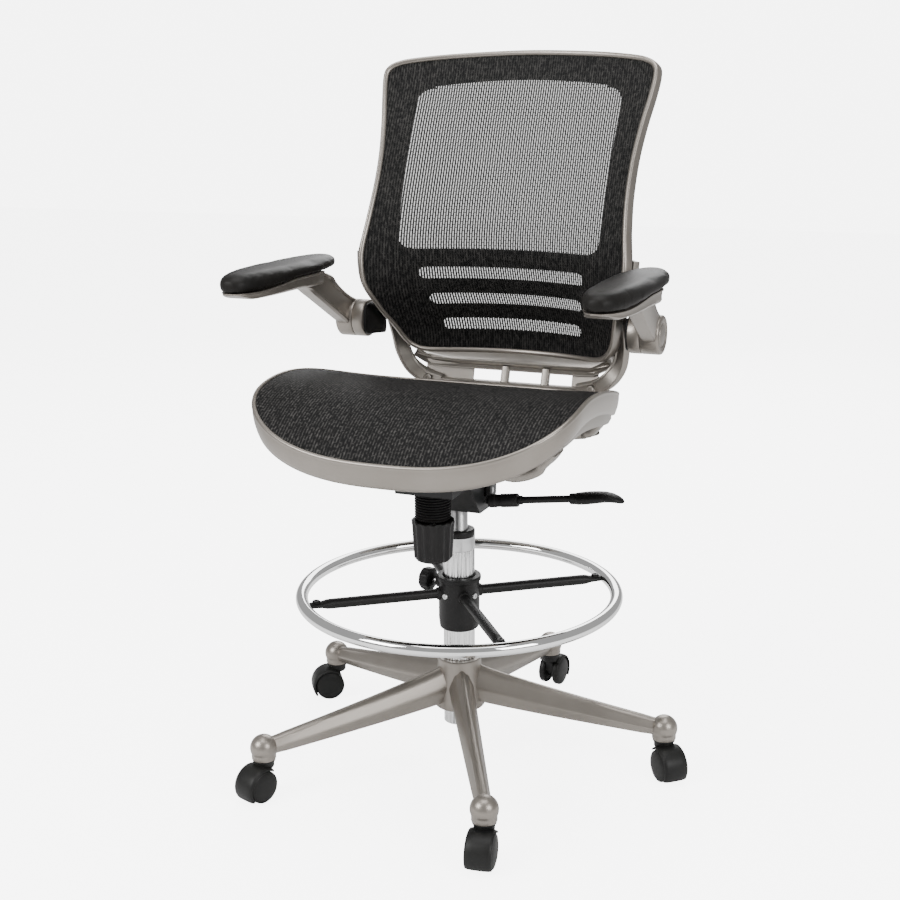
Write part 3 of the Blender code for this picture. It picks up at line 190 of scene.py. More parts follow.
# ---------------------------------------------------------------- shapes
class Shape:
    """Points and faces that become one mesh; several closed forms may be added to one shape."""

    def __init__(self):
        self.points = []
        self.faces = []
        self.metres = []

    def loft(self, rings, closed=False):
        """Skin rings of equal length; an open run of rings is closed off at both ends."""
        start = len(self.points)
        count = len(rings[0])
        for ring in rings:
            self.points += [Vector(p) for p in ring]
        last = len(rings) if closed else len(rings) - 1
        for index in range(last):
            a = start + index * count
            b = start + (index + 1) % len(rings) * count
            for step in range(count):
                after = (step + 1) % count
                self.faces.append((a + step, b + step, b + after, a + after))
        if not closed:
            self.faces.append(tuple(range(start, start + count)))
            self.faces.append(tuple(range(start + (len(rings) - 1) * count, len(self.points)))[::-1])
        return self

    def lathe(self, profile, segments=64, axis=UP, origin=(0, 0, 0), ripple=0.0, count=0):
        """Turn (radius, height[, fluted]) points about an axis; a profile clear of the axis leaves a bore."""
        rotation = UP.rotation_difference(Vector(axis)).to_matrix()
        origin = Vector(origin)
        rings = []
        for point in profile:
            ring = []
            for turn in full_turn(segments):
                radius = max(point[0], 1e-5)
                if len(point) > 2:
                    radius -= ripple * point[2] * (0.5 + 0.5 * math.cos(count * turn))
                spot = Vector((radius * math.cos(turn), radius * math.sin(turn), point[1]))
                ring.append(origin + rotation @ spot)
            rings.append(ring)
        return self.loft(rings, closed=min(profile[0][0], profile[-1][0]) > 0.001)

    def tube(self, path, radius, segments=16, closed=False):
        return self.sweep(path, [oval(2 * radius, 2 * radius, segments)] * len(path), closed)

    def sweep(self, path, sections, closed=False, up=UP):
        rings = []
        count = len(path)
        for index, point in enumerate(path):
            before = path[index - 1] if closed or index else path[0]
            after = path[(index + 1) % count] if closed or index < count - 1 else path[-1]
            along = (after - before).normalized()
            across = along.cross(up).normalized()
            lift = across.cross(along).normalized()
            rings.append([point + across * a + lift * b for a, b in sections[index]])
        return self.loft(rings, closed)

    def box(self, low, high):
        corners = ((low[0], low[1]), (high[0], low[1]), (high[0], high[1]), (low[0], high[1]))
        return self.loft([[Vector((x, y, z)) for x, y in corners] for z in (low[2], high[2])])


def mesh_of(name, shape, turn=Matrix.Identity(4)):
    """The mesh of a shape, moved from the chair's coordinates into the row frame."""
    mesh = bpy.data.meshes.new(name)
    mesh.from_pydata([turn @ p + AXIS for p in shape.points], [], shape.faces)
    bm = bmesh.new()
    bm.from_mesh(mesh)
    bmesh.ops.recalc_face_normals(bm, faces=bm.faces)
    bm.to_mesh(mesh)
    bm.free()
    return mesh


def add_object(name, data):
    made = bpy.data.objects.new(name, data)
    bpy.context.scene.collection.objects.link(made)
    return made


def round_edges(piece, width, segments, angle):
    rounding = piece.modifiers.new("edges", "BEVEL")
    rounding.width = width
    rounding.segments = segments
    rounding.limit_method = "ANGLE"
    rounding.angle_limit = math.radians(angle)


def hand_over(piece, body, replaces):
    """Let a piece ride on its body, and hide the CAD node it stands for, if one is given."""
    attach(piece, body)
    if replaces:
        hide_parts(replaces)
    return piece


def finish_piece(name, shape, material, body, replaces="", angle=38.0, bevel=0.0,
        turn=Matrix.Identity(4)):
    """Make the object of a shape, with its material in its slot."""
    mesh = mesh_of(name, shape, turn)
    if shape.metres:
        layer = mesh.uv_layers.new(name="metres")
        for loop in mesh.loops:
            layer.data[loop.index].uv = shape.metres[loop.vertex_index]
    mesh.materials.append(material)
    mesh.shade_smooth()
    mesh.set_sharp_from_angle(angle=math.radians(angle))
    piece = add_object(name, mesh)
    if bevel:
        round_edges(piece, bevel, 3, 34)
    return hand_over(piece, body, replaces)


def curve_points(points, steps, closed=False):
    """A Catmull-Rom curve through points."""
    points = [Vector(p) for p in points]
    count = len(points)
    path = []
    for span in range(count if closed else count - 1):
        if closed:
            p0, p1, p2, p3 = (points[(span + shift) % count] for shift in (-1, 0, 1, 2))
        else:
            p0, p1 = points[max(span - 1, 0)], points[span]
            p2, p3 = points[span + 1], points[min(span + 2, count - 1)]
        for step in range(steps):
            t = step / steps
            path.append(0.5 * (2 * p1 + (p2 - p0) * t + (2 * p0 - 5 * p1 + 4 * p2 - p3) * t * t
                               + (3 * p1 - 3 * p2 + p3 - p0) * t ** 3))
    if not closed:
        path.append(points[-1])
    return path


def mm(*points):
    """A profile given in millimetres; a third number, the share of a fluting, stays as it is."""
    return [(point[0] / 1000, point[1] / 1000, *point[2:]) for point in points]


def around(radius, degrees, z=0.0):
    turn = math.radians(degrees)
    return Vector((radius * math.cos(turn), radius * math.sin(turn), z))


def full_turn(count):
    """The angles of count points round a circle."""
    return [math.tau * step / count for step in range(count)]


def swollen(value, power):
    """A sine or cosine raised to a power under 1 squares a curve up; the sign is kept."""
    return math.copysign(abs(value) ** power, value)


def oval(width, height, count=24):
    return [(width / 2 * math.cos(turn), height / 2 * math.sin(turn)) for turn in full_turn(count)]


def arc_profile(radius, z, start_deg, end_deg, steps):
    spots = [around(radius, start_deg + (end_deg - start_deg) * s / steps) for s in range(steps + 1)]
    return [(spot.x, z + spot.y) for spot in spots]


# ---------------------------------------------------------------- base and gas lift
LEG_FIRST_DEG, BALL_CIRCLE_R, BALL_R, BALL_Z, SKIRT = 28.2, 0.3235, 0.0205, 0.08, 0.0172
HUB_BOTTOM_Z, HUB_TOP_Z = 0.0935, 0.1735


def leg_direction(number):
    turn = math.radians(LEG_FIRST_DEG + 72.0 * number)
    return Vector((math.sin(turn), -math.cos(turn), 0.0))


def leg_outline(width, height, ridge):
    """Half an outline from the bottom to the ridge, mirrored: flat foot, crease, hollow flank, ridge."""
    half = [(0.3, -0.5), (0.355, -0.485), (0.385, -0.45), (0.475, -0.16), (0.495, -0.09), (0.485, -0.04),
            (0.435, 0.06), (0.375, 0.17), (0.315, 0.28), (0.265, 0.36), (ridge + 0.05, 0.42),
            (ridge, 0.455), (ridge * 0.75, 0.485), (ridge * 0.4, 0.498)]
    right = [(width * a, height * b) for a, b in half]
    return right + [(-a, b) for a, b in reversed(right)]


def base():
    hub = Shape()
    bore = 0.0252
    foot = HUB_BOTTOM_Z - HUB_TOP_Z
    hub.lathe(((bore, -0.004), (bore + 0.0012, 0.0), (0.0325, 0.0), (0.034, -0.001), (0.0345, -0.003),
            (0.0345, -0.01), (0.035, -0.016), (0.0352, -0.034), (0.0365, -0.044), (0.0392, foot + 0.014),
            (0.0405, foot + 0.006), (0.0402, foot + 0.002), (0.0388, foot), (bore, foot)), 72,
            origin=(0, 0, HUB_TOP_Z))
    for number in range(5):
        out = leg_direction(number)
        across = Vector((-out.y, out.x, 0.0))
        root_z, tip_z = (HUB_TOP_Z + HUB_BOTTOM_Z) / 2, BALL_Z + 0.002
        start, end = 0.03, BALL_CIRCLE_R - 0.55 * BALL_R
        rings = []
        for step in range(26):
            share = step / 25
            drop = share ** 0.85
            middle = out * (start + (end - start) * share)
            middle.z = root_z + (tip_z - root_z) * drop
            width = 0.04 + (0.025 - 0.04) * share
            height = 0.058 + (0.025 - 0.058) * drop
            if share > 0.955:
                width, height = width * 0.965, height * 0.965
            outline = leg_outline(width, height, 0.1 + 0.13 * share)
            rings.append([middle + across * a + UP * b for a, b in outline])
        hub.loft(rings)
        skirt_z = BALL_Z - SKIRT
        profile = [(0.0001, skirt_z + 0.002), (0.0168, skirt_z + 0.002), (0.0172, skirt_z),
                (0.018, skirt_z), (0.01845, skirt_z + 0.0012), (0.0185, BALL_Z - 0.01)]
        profile += arc_profile(BALL_R, BALL_Z, -25, 78, 16) + [(0.0001, BALL_Z + BALL_R * 0.985)]
        hub.lathe(profile, 48, origin=out * BALL_CIRCLE_R)
    finish_piece("base_star", hub, SILVER, "base", "base_casting", angle=30)


def gas_lift():
    low, high = node_box("outer_column")
    radius = (high.x - low.x) / 2
    top = high.z
    fluted = Shape()
    depth, flutes, segments = 0.0011, 16, 192
    rings = []
    for z, press in ((low.z, 0.0), (low.z + 0.0015, 0.0), (low.z + 0.003, 1.0), (top - 0.0205, 1.0),
            (top - 0.02, 0.0), (top - 0.0198, 0.0)):
        ring = []
        for step in range(segments):
            turn = math.tau * step / segments
            wave = max(0.0, math.cos(flutes * turn)) ** 0.5
            ring.append(around(radius - 0.0004 - depth * press * wave, math.degrees(turn), z))
        rings.append(ring)
    fluted.loft(rings)
    finish_piece("column_fluted", fluted, BRIGHT, "base", "outer_column", angle=50)
    band = Shape().lathe(((0.0242, top - 0.0225), (radius - 0.0004, top - 0.0222), (radius, top - 0.021),
            (radius, top - 0.0012), (radius - 0.0012, top - 0.0002), (0.0215, top)), 72)
    band.lathe(mm((0.1, 0), (2.8, 0), (3.1, 0.6), (3.1, 1.2), (1.4, 1.2), (1.2, 0.2), (0.1, 0.2)), 20,
            around(1, -72), around(radius - 0.001, -72, top - 0.011))
    finish_piece("column_band", band, ZINC, "base")

    low, high = node_box("column_bush")
    ring = Shape().lathe(((0.0143, low.z + 0.05), (0.0198, low.z + 0.05), (0.0198, top + 0.0003),
            (0.0246, top + 0.0003), (0.025, top + 0.001), (0.025, high.z - 0.0022),
            (0.024, high.z - 0.0006), (0.0225, high.z), (0.0165, high.z), (0.0152, high.z - 0.0006),
            (0.0143, high.z - 0.0016)), 64)
    finish_piece("bush_collar", ring, BLACK, "base", "column_bush")

    low, high = node_box("gas_cylinder")
    cylinder = Shape().lathe(((0.006, low.z), (0.0125, low.z), (0.014, low.z + 0.0015),
            (0.014, high.z - 0.002), (0.0128, high.z - 0.0002), (0.0045, high.z)), 64)
    finish_piece("cylinder_tube", cylinder, ZINC, "post", "gas_cylinder")


# ---------------------------------------------------------------- casters
TRAIL, AXLE_Z = 0.015, 0.0247


def ring_about_axle(x, radius, start_deg, end_deg, count, axle=(-TRAIL, AXLE_Z)):
    points = []
    for step in range(count + 1):
        turn = math.radians(start_deg + (end_deg - start_deg) * step / count)
        points.append(Vector((x, axle[0] - radius * math.cos(turn), axle[1] + radius * math.sin(turn))))
    return points


def caster(number):
    swivel = JOINTS[f"caster_swivel_{number}"]
    axle = JOINTS[f"wheel_roll_{number}_left"]
    yaw = math.degrees(math.atan2(axle["axis"][1], axle["axis"][0]))
    foot = Vector(swivel["pos_m"]) - AXIS
    turn = Matrix.Translation((foot.x, foot.y, 0.0)) @ Matrix.Rotation(math.radians(yaw), 4, "Z")
    hood = Shape()
    rings = []
    flank = ((0.0195, 0.0278, 0.0016), (0.0186, 0.029, 0.0028), (0.015, 0.03, 0.0038),
            (0.008, 0.0305, 0.0042))
    for x, radius, thick in [(-x, radius, thick) for x, radius, thick in flank] + list(flank[::-1]):
        outer = ring_about_axle(x, radius, -34, 128, 30)
        inner = ring_about_axle(x, radius - thick, 128, -34, 30)
        rings.append(outer + inner)
    hood.loft(rings)
    rings = []
    for x in (-0.0066, 0.0066):
        rim = ring_about_axle(x, 0.0292, -31, 122, 24)
        rings.append(rim + [Vector((x, 0.0045, 0.044)), Vector((x, 0.001, AXLE_Z + 0.002)),
                Vector((x, -TRAIL + 0.004, 0.0125))])
    hood.loft(rings)
    top = BALL_Z - SKIRT - 0.0003
    hood.lathe(((0.0001, top), (0.0166, top), (0.0172, top - 0.0006), (0.0172, top - 0.0028),
            (0.0166, top - 0.0036), (0.0158, top - 0.004), (0.0152, top - 0.007), (0.015, top - 0.0118),
            (0.0135, top - 0.014), (0.0001, top - 0.0145)), 48)
    finish_piece(f"hood_{number}", hood, NYLON, f"caster_{number}", f"caster_hood_{number}",
            turn=turn, angle=42)
    for side, word in ((-1, "right"), (1, "left")):
        wheel = Shape()
        split = 0.0075
        wheel.lathe(mm((3.3, 0), (21.5, 0), (24, 0.6), (24.9, 2), (25, 3.5), (25, 8), (24.7, 9.4),
                (23.8, 10.4), (22.9, 10.8), (22.4, 10.4), (21.8, 10.8), (19, 11.9), (15, 12.7), (11, 13.15),
                (6, 13.4), (0.1, 13.5)), 72, (side, 0, 0), (side * split, -TRAIL, AXLE_Z + 0.0003))
        finish_piece(f"wheel_{word}_{number}", wheel, NYLON, f"wheel_{number}_{word}",
                f"caster_wheel_{word}_{number}", turn=turn)


# ---------------------------------------------------------------- foot ring
SPOKE_FIRST_DEG = 37.3


def foot_ring():
    low, high = node_box("foot_ring")
    tube_r = 0.0095
    ring_z = (low.z + high.z) / 2
    ring_r = (high.x - low.x) / 2 - tube_r
    hoop = Shape().tube([around(ring_r, 360 * s / 240, ring_z) for s in range(240)], tube_r, 36, closed=True)
    finish_piece("hoop", hoop, CHROME, "ring", "foot_ring")

    for number in range(4):
        degrees = SPOKE_FIRST_DEG + 90 * number
        inner, outer = 0.0345, ring_r - tube_r - 0.0002
        along = ((0.0, 2.0, 2.0), (0.82, 2.0, 2.0), (0.87, 2.05, 1.9), (0.91, 2.25, 1.3), (0.95, 2.3, 1.15),
                (0.985, 2.2, 1.1), (1.0, 1.9, 1.0))
        path = [around(inner + (outer - inner) * share, degrees, ring_z) for share, _, _ in along]
        spoke = Shape().sweep(path, [oval(w * 0.008, h * 0.008) for _, w, h in along])
        cap_place = around(outer - 0.0095, degrees, ring_z + 0.004)
        spoke.lathe(mm((6.2, 0), (6.2, 2.2), (5, 3.4), (2.4, 3.6), (2, 2.6), (0.1, 2.6)), 24, UP, cap_place)
        finish_piece(f"spoke_{number + 1}", spoke, BLACK, "ring", f"ring_spoke_{number + 1}")

    low, high = node_box("ring_collar")
    bore = 0.0255
    collar = Shape().lathe(((bore, low.z + 0.001), (0.029, low.z), (0.0302, low.z + 0.001),
            (0.0318, low.z + 0.013), (0.032, low.z + 0.016), (0.032, high.z - 0.0105),
            (0.0326, high.z - 0.009), (0.0343, high.z - 0.0072), (0.0345, high.z - 0.006),
            (0.0345, high.z - 0.0018), (0.0338, high.z - 0.0004), (0.0325, high.z), (bore + 0.0008, high.z),
            (bore, high.z - 0.001)), 72)
    for number in range(4):
        degrees = SPOKE_FIRST_DEG + 90 * number
        collar.lathe(mm((10, 0), (10, 6.2), (9.2, 7.5), (8, 7.8)), 32, around(1, degrees),
                around(0.0285, degrees, ring_z))
    clamp = joint_place("ring_clamp_turn")
    clamp_deg = math.degrees(math.atan2(clamp.y, clamp.x))
    collar.lathe(mm((10, 0), (10, 8), (9, 9.5), (4.4, 9.5)), 32, around(1, clamp_deg),
            around(0.0285, clamp_deg, clamp.z))
    finish_piece("collar", collar, BLACK, "ring", "ring_collar")
    screws = Shape()
    for number in range(4):
        degrees = SPOKE_FIRST_DEG + 90 * number + 45 - 12
        screws.lathe(mm((0.1, 0), (4.6, 0), (4.6, 1.2), (4, 2.2), (1.8, 2.4), (1.5, 1.2), (0.1, 1.2)), 24,
                around(1, degrees), around(0.0316, degrees, ring_z))
    finish_piece("collar_screws", screws, ZINC, "ring")

    out = around(1, clamp_deg)
    knob = Shape().lathe(mm((4.5, 0), (8.5, 0), (10.8, 2.6), (16.5, 3.4), (17.8, 4.5, 0.4), (18.5, 6.5, 1),
            (18.5, 15, 1), (18, 17.8, 0.7), (16.5, 19.4, 0.3), (14, 19.9), (11.5, 19.2), (0.1, 19)), 96,
            out, around(0.045, clamp_deg, clamp.z), ripple=0.0019, count=8)
    finish_piece("clamp_grip", knob, BLACK, "ring_clamp", "clamp_knob", angle=50)


# ---------------------------------------------------------------- mechanism
def mechanism():
    low, high = node_box("tension_knob")
    centre = Vector(((low.x + high.x) / 2, (low.y + high.y) / 2, 0.0))
    knob = Shape().lathe(((0.0001, low.z), (0.0225, low.z), (0.0248, low.z + 0.001),
            (0.0268, low.z + 0.0035, 0.4), (0.029, low.z + 0.0065, 1.0), (0.0318, high.z - 0.006, 1.0),
            (0.0325, high.z - 0.003, 0.8), (0.0322, high.z - 0.001, 0.4), (0.031, high.z), (0.0268, high.z),
            (0.0262, high.z - 0.012), (0.006, high.z - 0.012)), 168, UP, centre, ripple=0.0026, count=14)
    finish_piece("tension_grip", knob, BLACK, "tension", "tension_knob", angle=50)

    low, high = node_box("tension_cup")
    ridges = 10
    pitch = (high.z - low.z - 0.002) / ridges
    profile = [(0.018, low.z), (0.0238, low.z)]
    for ridge in range(ridges):
        base_z = low.z + 0.001 + pitch * ridge
        profile += [(0.024, base_z + 0.1 * pitch), (0.0265, base_z + 0.3 * pitch),
                (0.027, base_z + 0.5 * pitch), (0.0265, base_z + 0.7 * pitch), (0.024, base_z + 0.9 * pitch)]
    profile += [(0.024, high.z), (0.018, high.z)]
    cup = Shape().lathe(profile, 72, UP, centre)
    finish_piece("spring_cup", cup, BLACK, "post", "tension_cup", angle=60)

    slope = math.radians(7.4)
    pivot = joint_place("lever_lift")

    def along(distance, lift=0.0, y=0.0):
        return Vector((pivot.x + distance * math.cos(slope) - lift * math.sin(slope), y,
                pivot.z + distance * math.sin(slope) + lift * math.cos(slope)))

    rod = Shape()
    axis = along(1.0) - along(0.0)
    rod.lathe(mm((0.1, 10), (5.5, 10), (5.5, 128), (0.1, 128)), 32, axis, along(0.0))
    rod.lathe(mm((5.5, 0), (6.8, 0.4), (6.8, 4), (5.5, 4.4)), 32, axis, along(0.048))
    finish_piece("lever_bar", rod, BLACK, "lever", "lever_rod")

    stations = ((0.0, 0.0155, 0.0155, 0.0), (0.0015, 0.017, 0.0168, 0.0), (0.009, 0.0176, 0.0172, 0.0),
            (0.0102, 0.0182, 0.0176, 0.0), (0.0118, 0.0235, 0.0182, 0.0), (0.02, 0.0295, 0.0186, 0.0004),
            (0.03, 0.033, 0.0184, 0.0009), (0.042, 0.0342, 0.0172, 0.0014), (0.054, 0.033, 0.0152, 0.0014),
            (0.064, 0.0292, 0.0128, 0.0), (0.072, 0.0238, 0.0102, -0.0025),
            (0.0775, 0.0172, 0.0078, -0.005), (0.0808, 0.01, 0.005, -0.0068),
            (0.082, 0.0035, 0.0022, -0.0076))
    path = [along(0.1283 + s, lift) for s, _, _, lift in stations]
    paddle = Shape().sweep(path, [oval(w, h, 32) for _, w, h, _ in stations])
    finish_piece("paddle", paddle, BLACK, "lever", "lever_paddle", angle=60)

    boss = Shape()
    boss.lathe(mm((0.1, -2), (8.5, -2), (10.5, 0), (10.5, 10), (9.8, 11), (9.8, 18), (10.5, 19), (10.5, 44),
            (9.6, 45.8), (5.8, 46)), 40, axis, along(0.0))
    low, high = node_box("lever_yoke")
    boss.box((0.046, -0.0048, pivot.z - 0.004), (0.054, 0.0048, high.z - 0.001))
    boss.box((-0.005, -0.0055, high.z - 0.006), (0.0534, 0.0055, high.z))
    finish_piece("lever_boss", boss, BLACK, "lever_hub", "lever_yoke", bevel=0.0006)

    for node, width in (("mechanism_housing", 0.0016), ("seat_plate", 0.001)):
        keep_node(node, POWDER, width)
    bolts = Shape()
    low, high = node_box("mechanism_housing")
    for side in (-1, 1):
        for y, z in ((-0.115, 0.488), (-0.03, 0.47), (0.02, 0.444)):
            bolts.lathe(mm((0.1, 0), (6, 0), (6, 2.4), (4.5, 3.4), (0.1, 3.6)), 6, (side, 0, 0),
                    (side * (high.x + 0.0001), y, z))
    finish_piece("housing_bolts", bolts, ZINC, "post", angle=20)


def keep_node(node, material, bevel=0.0):
    piece = frame["nodes"][node]
    piece.data.materials.clear()
    piece.data.materials.append(material)
    if bevel:
        joined = piece.modifiers.new("weld", "WELD")
        joined.merge_threshold = 0.00002
        round_edges(piece, bevel, 2, 30)


# ---------------------------------------------------------------- seat
SEAT_HALF_W, SEAT_FRONT_Y, SEAT_REAR_Y, SEAT_WIDEST_Y, SEAT_MID_Z = 0.246, -0.288, 0.197, -0.15, 0.6276
RIM_H, RIM_T = 0.036, 0.015


def rim_height(y):
    u = (y - SEAT_WIDEST_Y) / 0.25
    return SEAT_MID_Z + 0.0395 * u - 0.1279 * u ** 2 + 0.0652 * u ** 3 - 0.0103 * u ** 4


def seat_outline(turn):
    c, s = math.cos(turn), math.sin(turn)
    power = 2.6 if s < 0 else 3.6
    reach = (SEAT_WIDEST_Y - SEAT_FRONT_Y) if s < 0 else (SEAT_REAR_Y - SEAT_WIDEST_Y)
    x = SEAT_HALF_W * swollen(c, 2 / power)
    return Vector((x, SEAT_WIDEST_Y + reach * swollen(s, 2 / power), 0.0))


def seat_loop(count):
    fine = [seat_outline(math.tau * step / 2880) for step in range(2880)]
    lengths = [0.0]
    for step in range(2880):
        lengths.append(lengths[-1] + (fine[(step + 1) % 2880] - fine[step]).length)
    points, here = [], 0
    for step in range(count):
        wanted = lengths[-1] * step / count
        while lengths[here + 1] < wanted:
            here += 1
        share = (wanted - lengths[here]) / (lengths[here + 1] - lengths[here])
        points.append(fine[here].lerp(fine[(here + 1) % 2880], share))
    inward = []
    for step in range(count):
        along = (points[(step + 1) % count] - points[step - 1]).normalized()
        inward.append(Vector((-along.y, along.x, 0.0)))
    return points, inward


def seat():
    count = 288
    points, inward = seat_loop(count)
    section = ((0.0012, -0.0052), (0.0006, -0.0034), (0.0012, -0.0012), (0.0026, 0.0), (0.0044, 0.0004),
            (0.0062, -0.0002), (0.0072, -0.0018), (0.0075, -0.0052), (RIM_T - 0.001, -0.007),
            (RIM_T, -0.0085), (RIM_T, -0.016), (RIM_T - 0.0018, -RIM_H + 0.004), (0.0118, -RIM_H + 0.0008),
            (0.0095, -RIM_H), (0.0072, -RIM_H + 0.001), (0.0048, -RIM_H * 0.8), (0.0026, -RIM_H * 0.58),
            (0.0014, -RIM_H * 0.36), (0.0012, -RIM_H * 0.2))
    rings = []
    for point, into in zip(points, inward):
        rings.append([point + into * a + UP * (rim_height(point.y) + b) for a, b in section])
    rim = Shape().loft(rings, closed=True)
    finish_piece("seat_rim", rim, SILVER, "seat", "seat_frame", angle=55)

    edge = [point + into * 0.007 for point, into in zip(points, inward)]
    steps = [rim_height(point.y) - rim_height(spot.y) for point, spot in zip(points, edge)]
    middle = Vector((0.0, sum(p.y for p in edge) / count, 0.0))
    sheet = Shape()
    rows = 30
    for row in range(rows + 1):
        share = 1.0 - row / rows
        for point, step in zip(edge, steps):
            spot = middle.lerp(point, max(share, 0.0015))
            tuck = 0.0016 + 0.0014 * min(1.0, (1 - share) / 0.04)
            sag = 0.0045 * (1 - share * share) + tuck
            z = rim_height(spot.y) + step * share ** 14 - sag
            sheet.points.append(Vector((spot.x, spot.y, z)))
            sheet.metres.append((spot.x, spot.y * 1.06))
    for row in range(rows):
        for step in range(count):
            after = (step + 1) % count
            a, b = row * count, (row + 1) * count
            sheet.faces.append((a + step, b + step, b + after, a + after))
    sheet.faces.append(tuple(range(rows * count, (rows + 1) * count)))
    piece = finish_piece("seat_knit", sheet, SEAT_WEAVE, "seat", "seat_mesh", angle=80)

    seat_casting()


def seat_half_width(y):
    reach = (SEAT_WIDEST_Y - SEAT_FRONT_Y) if y < SEAT_WIDEST_Y else (SEAT_REAR_Y - SEAT_WIDEST_Y)
    power = 2.6 if y < SEAT_WIDEST_Y else 3.6
    return SEAT_HALF_W * (1 - (abs(y - SEAT_WIDEST_Y) / reach) ** power) ** (1 / power)


def soft_box(width, height, power=0.42, count=28):
    """A rectangle with generously rounded corners, as a swept section."""
    return [(width / 2 * swollen(math.cos(turn), power), height / 2 * swollen(math.sin(turn), power))
            for turn in full_turn(count)]


def sizes_along(sizes, count):
    """Width and height pairs spread evenly along a path."""
    made = []
    for step in range(count):
        place = step / (count - 1) * (len(sizes) - 1)
        index = min(int(place), len(sizes) - 2)
        share = place - index
        made.append(tuple(a + (b - a) * share for a, b in zip(sizes[index], sizes[index + 1])))
    return made


def seat_casting():
    """The pad over the plate and four rounded arms that rise to the rim."""
    low, high = node_box("seat_plate")
    top = high.z + 0.0003
    casting = Shape()
    middle_y = (low.y + high.y) / 2
    width, length = high.x - low.x, high.y - low.y - 0.014
    pad_rings = []
    for z, inset in ((top, 0.002), (top + 0.002, 0.0), (top + 0.009, 0.0), (top + 0.0115, 0.003),
            (top + 0.012, 0.01)):
        outline = soft_box(width - 2 * inset, length - 2 * inset, 0.25, 48)
        pad_rings.append([Vector((a, middle_y + b, z)) for a, b in outline])
    casting.loft(pad_rings)
    for side in (-1, 1):
        for y, root_y, spread in ((-0.18, -0.085, 0.056), (0.085, 0.045, 0.044)):
            end_x = min(seat_half_width(y - spread / 2), seat_half_width(y + spread / 2)) - 0.018
            under = min(rim_height(y - spread / 2), rim_height(y + spread / 2)) - RIM_H
            path = curve_points([(side * 0.05, root_y, top + 0.007),
                    (side * 0.11, (root_y + y) / 2, top + 0.008), (side * 0.17, y, top + 0.012),
                    (side * (end_x - 0.018), y, under - 0.022), (side * (end_x - 0.002), y, under - 0.006)],
                    7)
            sizes = sizes_along(((0.046, 0.014), (0.042, 0.016), (spread - 0.004, 0.017), (spread, 0.017),
                    (spread - 0.01, 0.012)), len(path))
            casting.sweep(path, [soft_box(w, h) for w, h in sizes])
    points, inward = seat_loop(288)
    for side in (-1, 1):
        strip = [pair for pair in zip(points, inward)
                if side * pair[0].x > 0.15 and -0.215 < pair[0].y < 0.12]
        strip.sort(key=lambda pair: pair[0].y)
        rings = []
        for point, into in strip:
            share = (point.y + 0.215) / 0.335
            drop = 0.002 + 0.016 * math.sin(math.pi * share) ** 0.7
            under = rim_height(point.y) - RIM_H
            hung = ((0.012, 0.006), (0.012, -drop * 0.5), (0.015, -drop), (0.023, -drop),
                    (0.025, -drop * 0.6), (0.025, 0.006))
            rings.append([point + into * a + UP * (under + b) for a, b in hung])
        casting.loft(rings)
    finish_piece("seat_arms", casting, CAST, "seat", "seat_bracket", angle=45)


# ---------------------------------------------------------------- back
# height and half width of the back's rim
BACK_RIM = (
    (0.612, 0.126), (0.615, 0.152), (0.624, 0.168), (0.64, 0.18), (0.672, 0.193),
    (0.7, 0.203), (0.732, 0.2145), (0.76, 0.219), (0.79, 0.22), (0.84, 0.215),
    (0.89, 0.212), (0.94, 0.213), (0.99, 0.219), (1.03, 0.226), (1.06, 0.2295),
    (1.076, 0.226), (1.086, 0.211), (1.092, 0.181),
)
# height, how far back the middle lies, and how strongly the sides bend forward
BACK_SHAPE = (
    (0.6, 0.262, 2.0), (0.65, 0.26, 2.2), (0.69, 0.24, 2.35), (0.73, 0.212, 2.0),
    (0.79, 0.19, 1.43), (0.85, 0.2, 1.26), (0.92, 0.225, 1.1), (0.98, 0.248, 0.92),
    (1.044, 0.277, 0.8), (1.11, 0.303, 0.8),
)
BACK_BOTTOM_Z, BACK_TOP_Z, RIM_FACE, RIM_DEPTH = 0.6105, 1.1015, 0.0085, 0.018
WINDOW_Z, WINDOW_SHARE, SLOT_SHARE = (0.7905, 1.0435), 0.8, 0.66
SLOTS_Z = ((0.649, 0.669), (0.693, 0.713), (0.7385, 0.7595))


def along_table(table, column, z):
    rows = len(table)
    index = 0
    while index < rows - 2 and z > table[index + 1][0]:
        index += 1
    z0, z1 = table[index][0], table[index + 1][0]
    v0, v1 = table[index][column], table[index + 1][column]

    def slope(row):
        before, after = table[max(row - 1, 0)], table[min(row + 1, rows - 1)]
        return (after[column] - before[column]) / (after[0] - before[0])

    span = z1 - z0
    t = (z - z0) / span
    return ((2 * t ** 3 - 3 * t * t + 1) * v0 + (t ** 3 - 2 * t * t + t) * span * slope(index) +
            (3 * t * t - 2 * t ** 3) * v1 + (t ** 3 - t * t) * span * slope(index + 1))


def back_point(x, z, behind=0.0):
    middle = along_table(BACK_SHAPE, 1, z)
    bend = along_table(BACK_SHAPE, 2, z)
    step = 0.002
    rise = (along_table(BACK_SHAPE, 1, z + step) - along_table(BACK_SHAPE, 1, z - step)) / (2 * step)
    normal = Vector((-2 * bend * x, -1.0, rise)).normalized()
    return Vector((x, middle - bend * x * x, z)) - normal * behind, normal


def back_outline(steps):
    side = [(w, z) for z, w in BACK_RIM]
    right = [(0.0, BACK_BOTTOM_Z), (0.075, BACK_BOTTOM_Z + 0.0004)] + side
    right += [(0.11, BACK_TOP_Z - 0.0035), (0.0, BACK_TOP_Z)]
    left = [(-x, z) for x, z in reversed(right[1:-1])]
    return curve_points([Vector((x, z, 0.0)) for x, z in right + left], steps, closed=True)


def rim_inset(outline, index, inset):
    """A point inside the outline, in the (x, z) plane."""
    along = (outline[(index + 1) % len(outline)] - outline[index - 1]).normalized()
    return outline[index] + Vector((-along.y, along.x, 0.0)) * inset


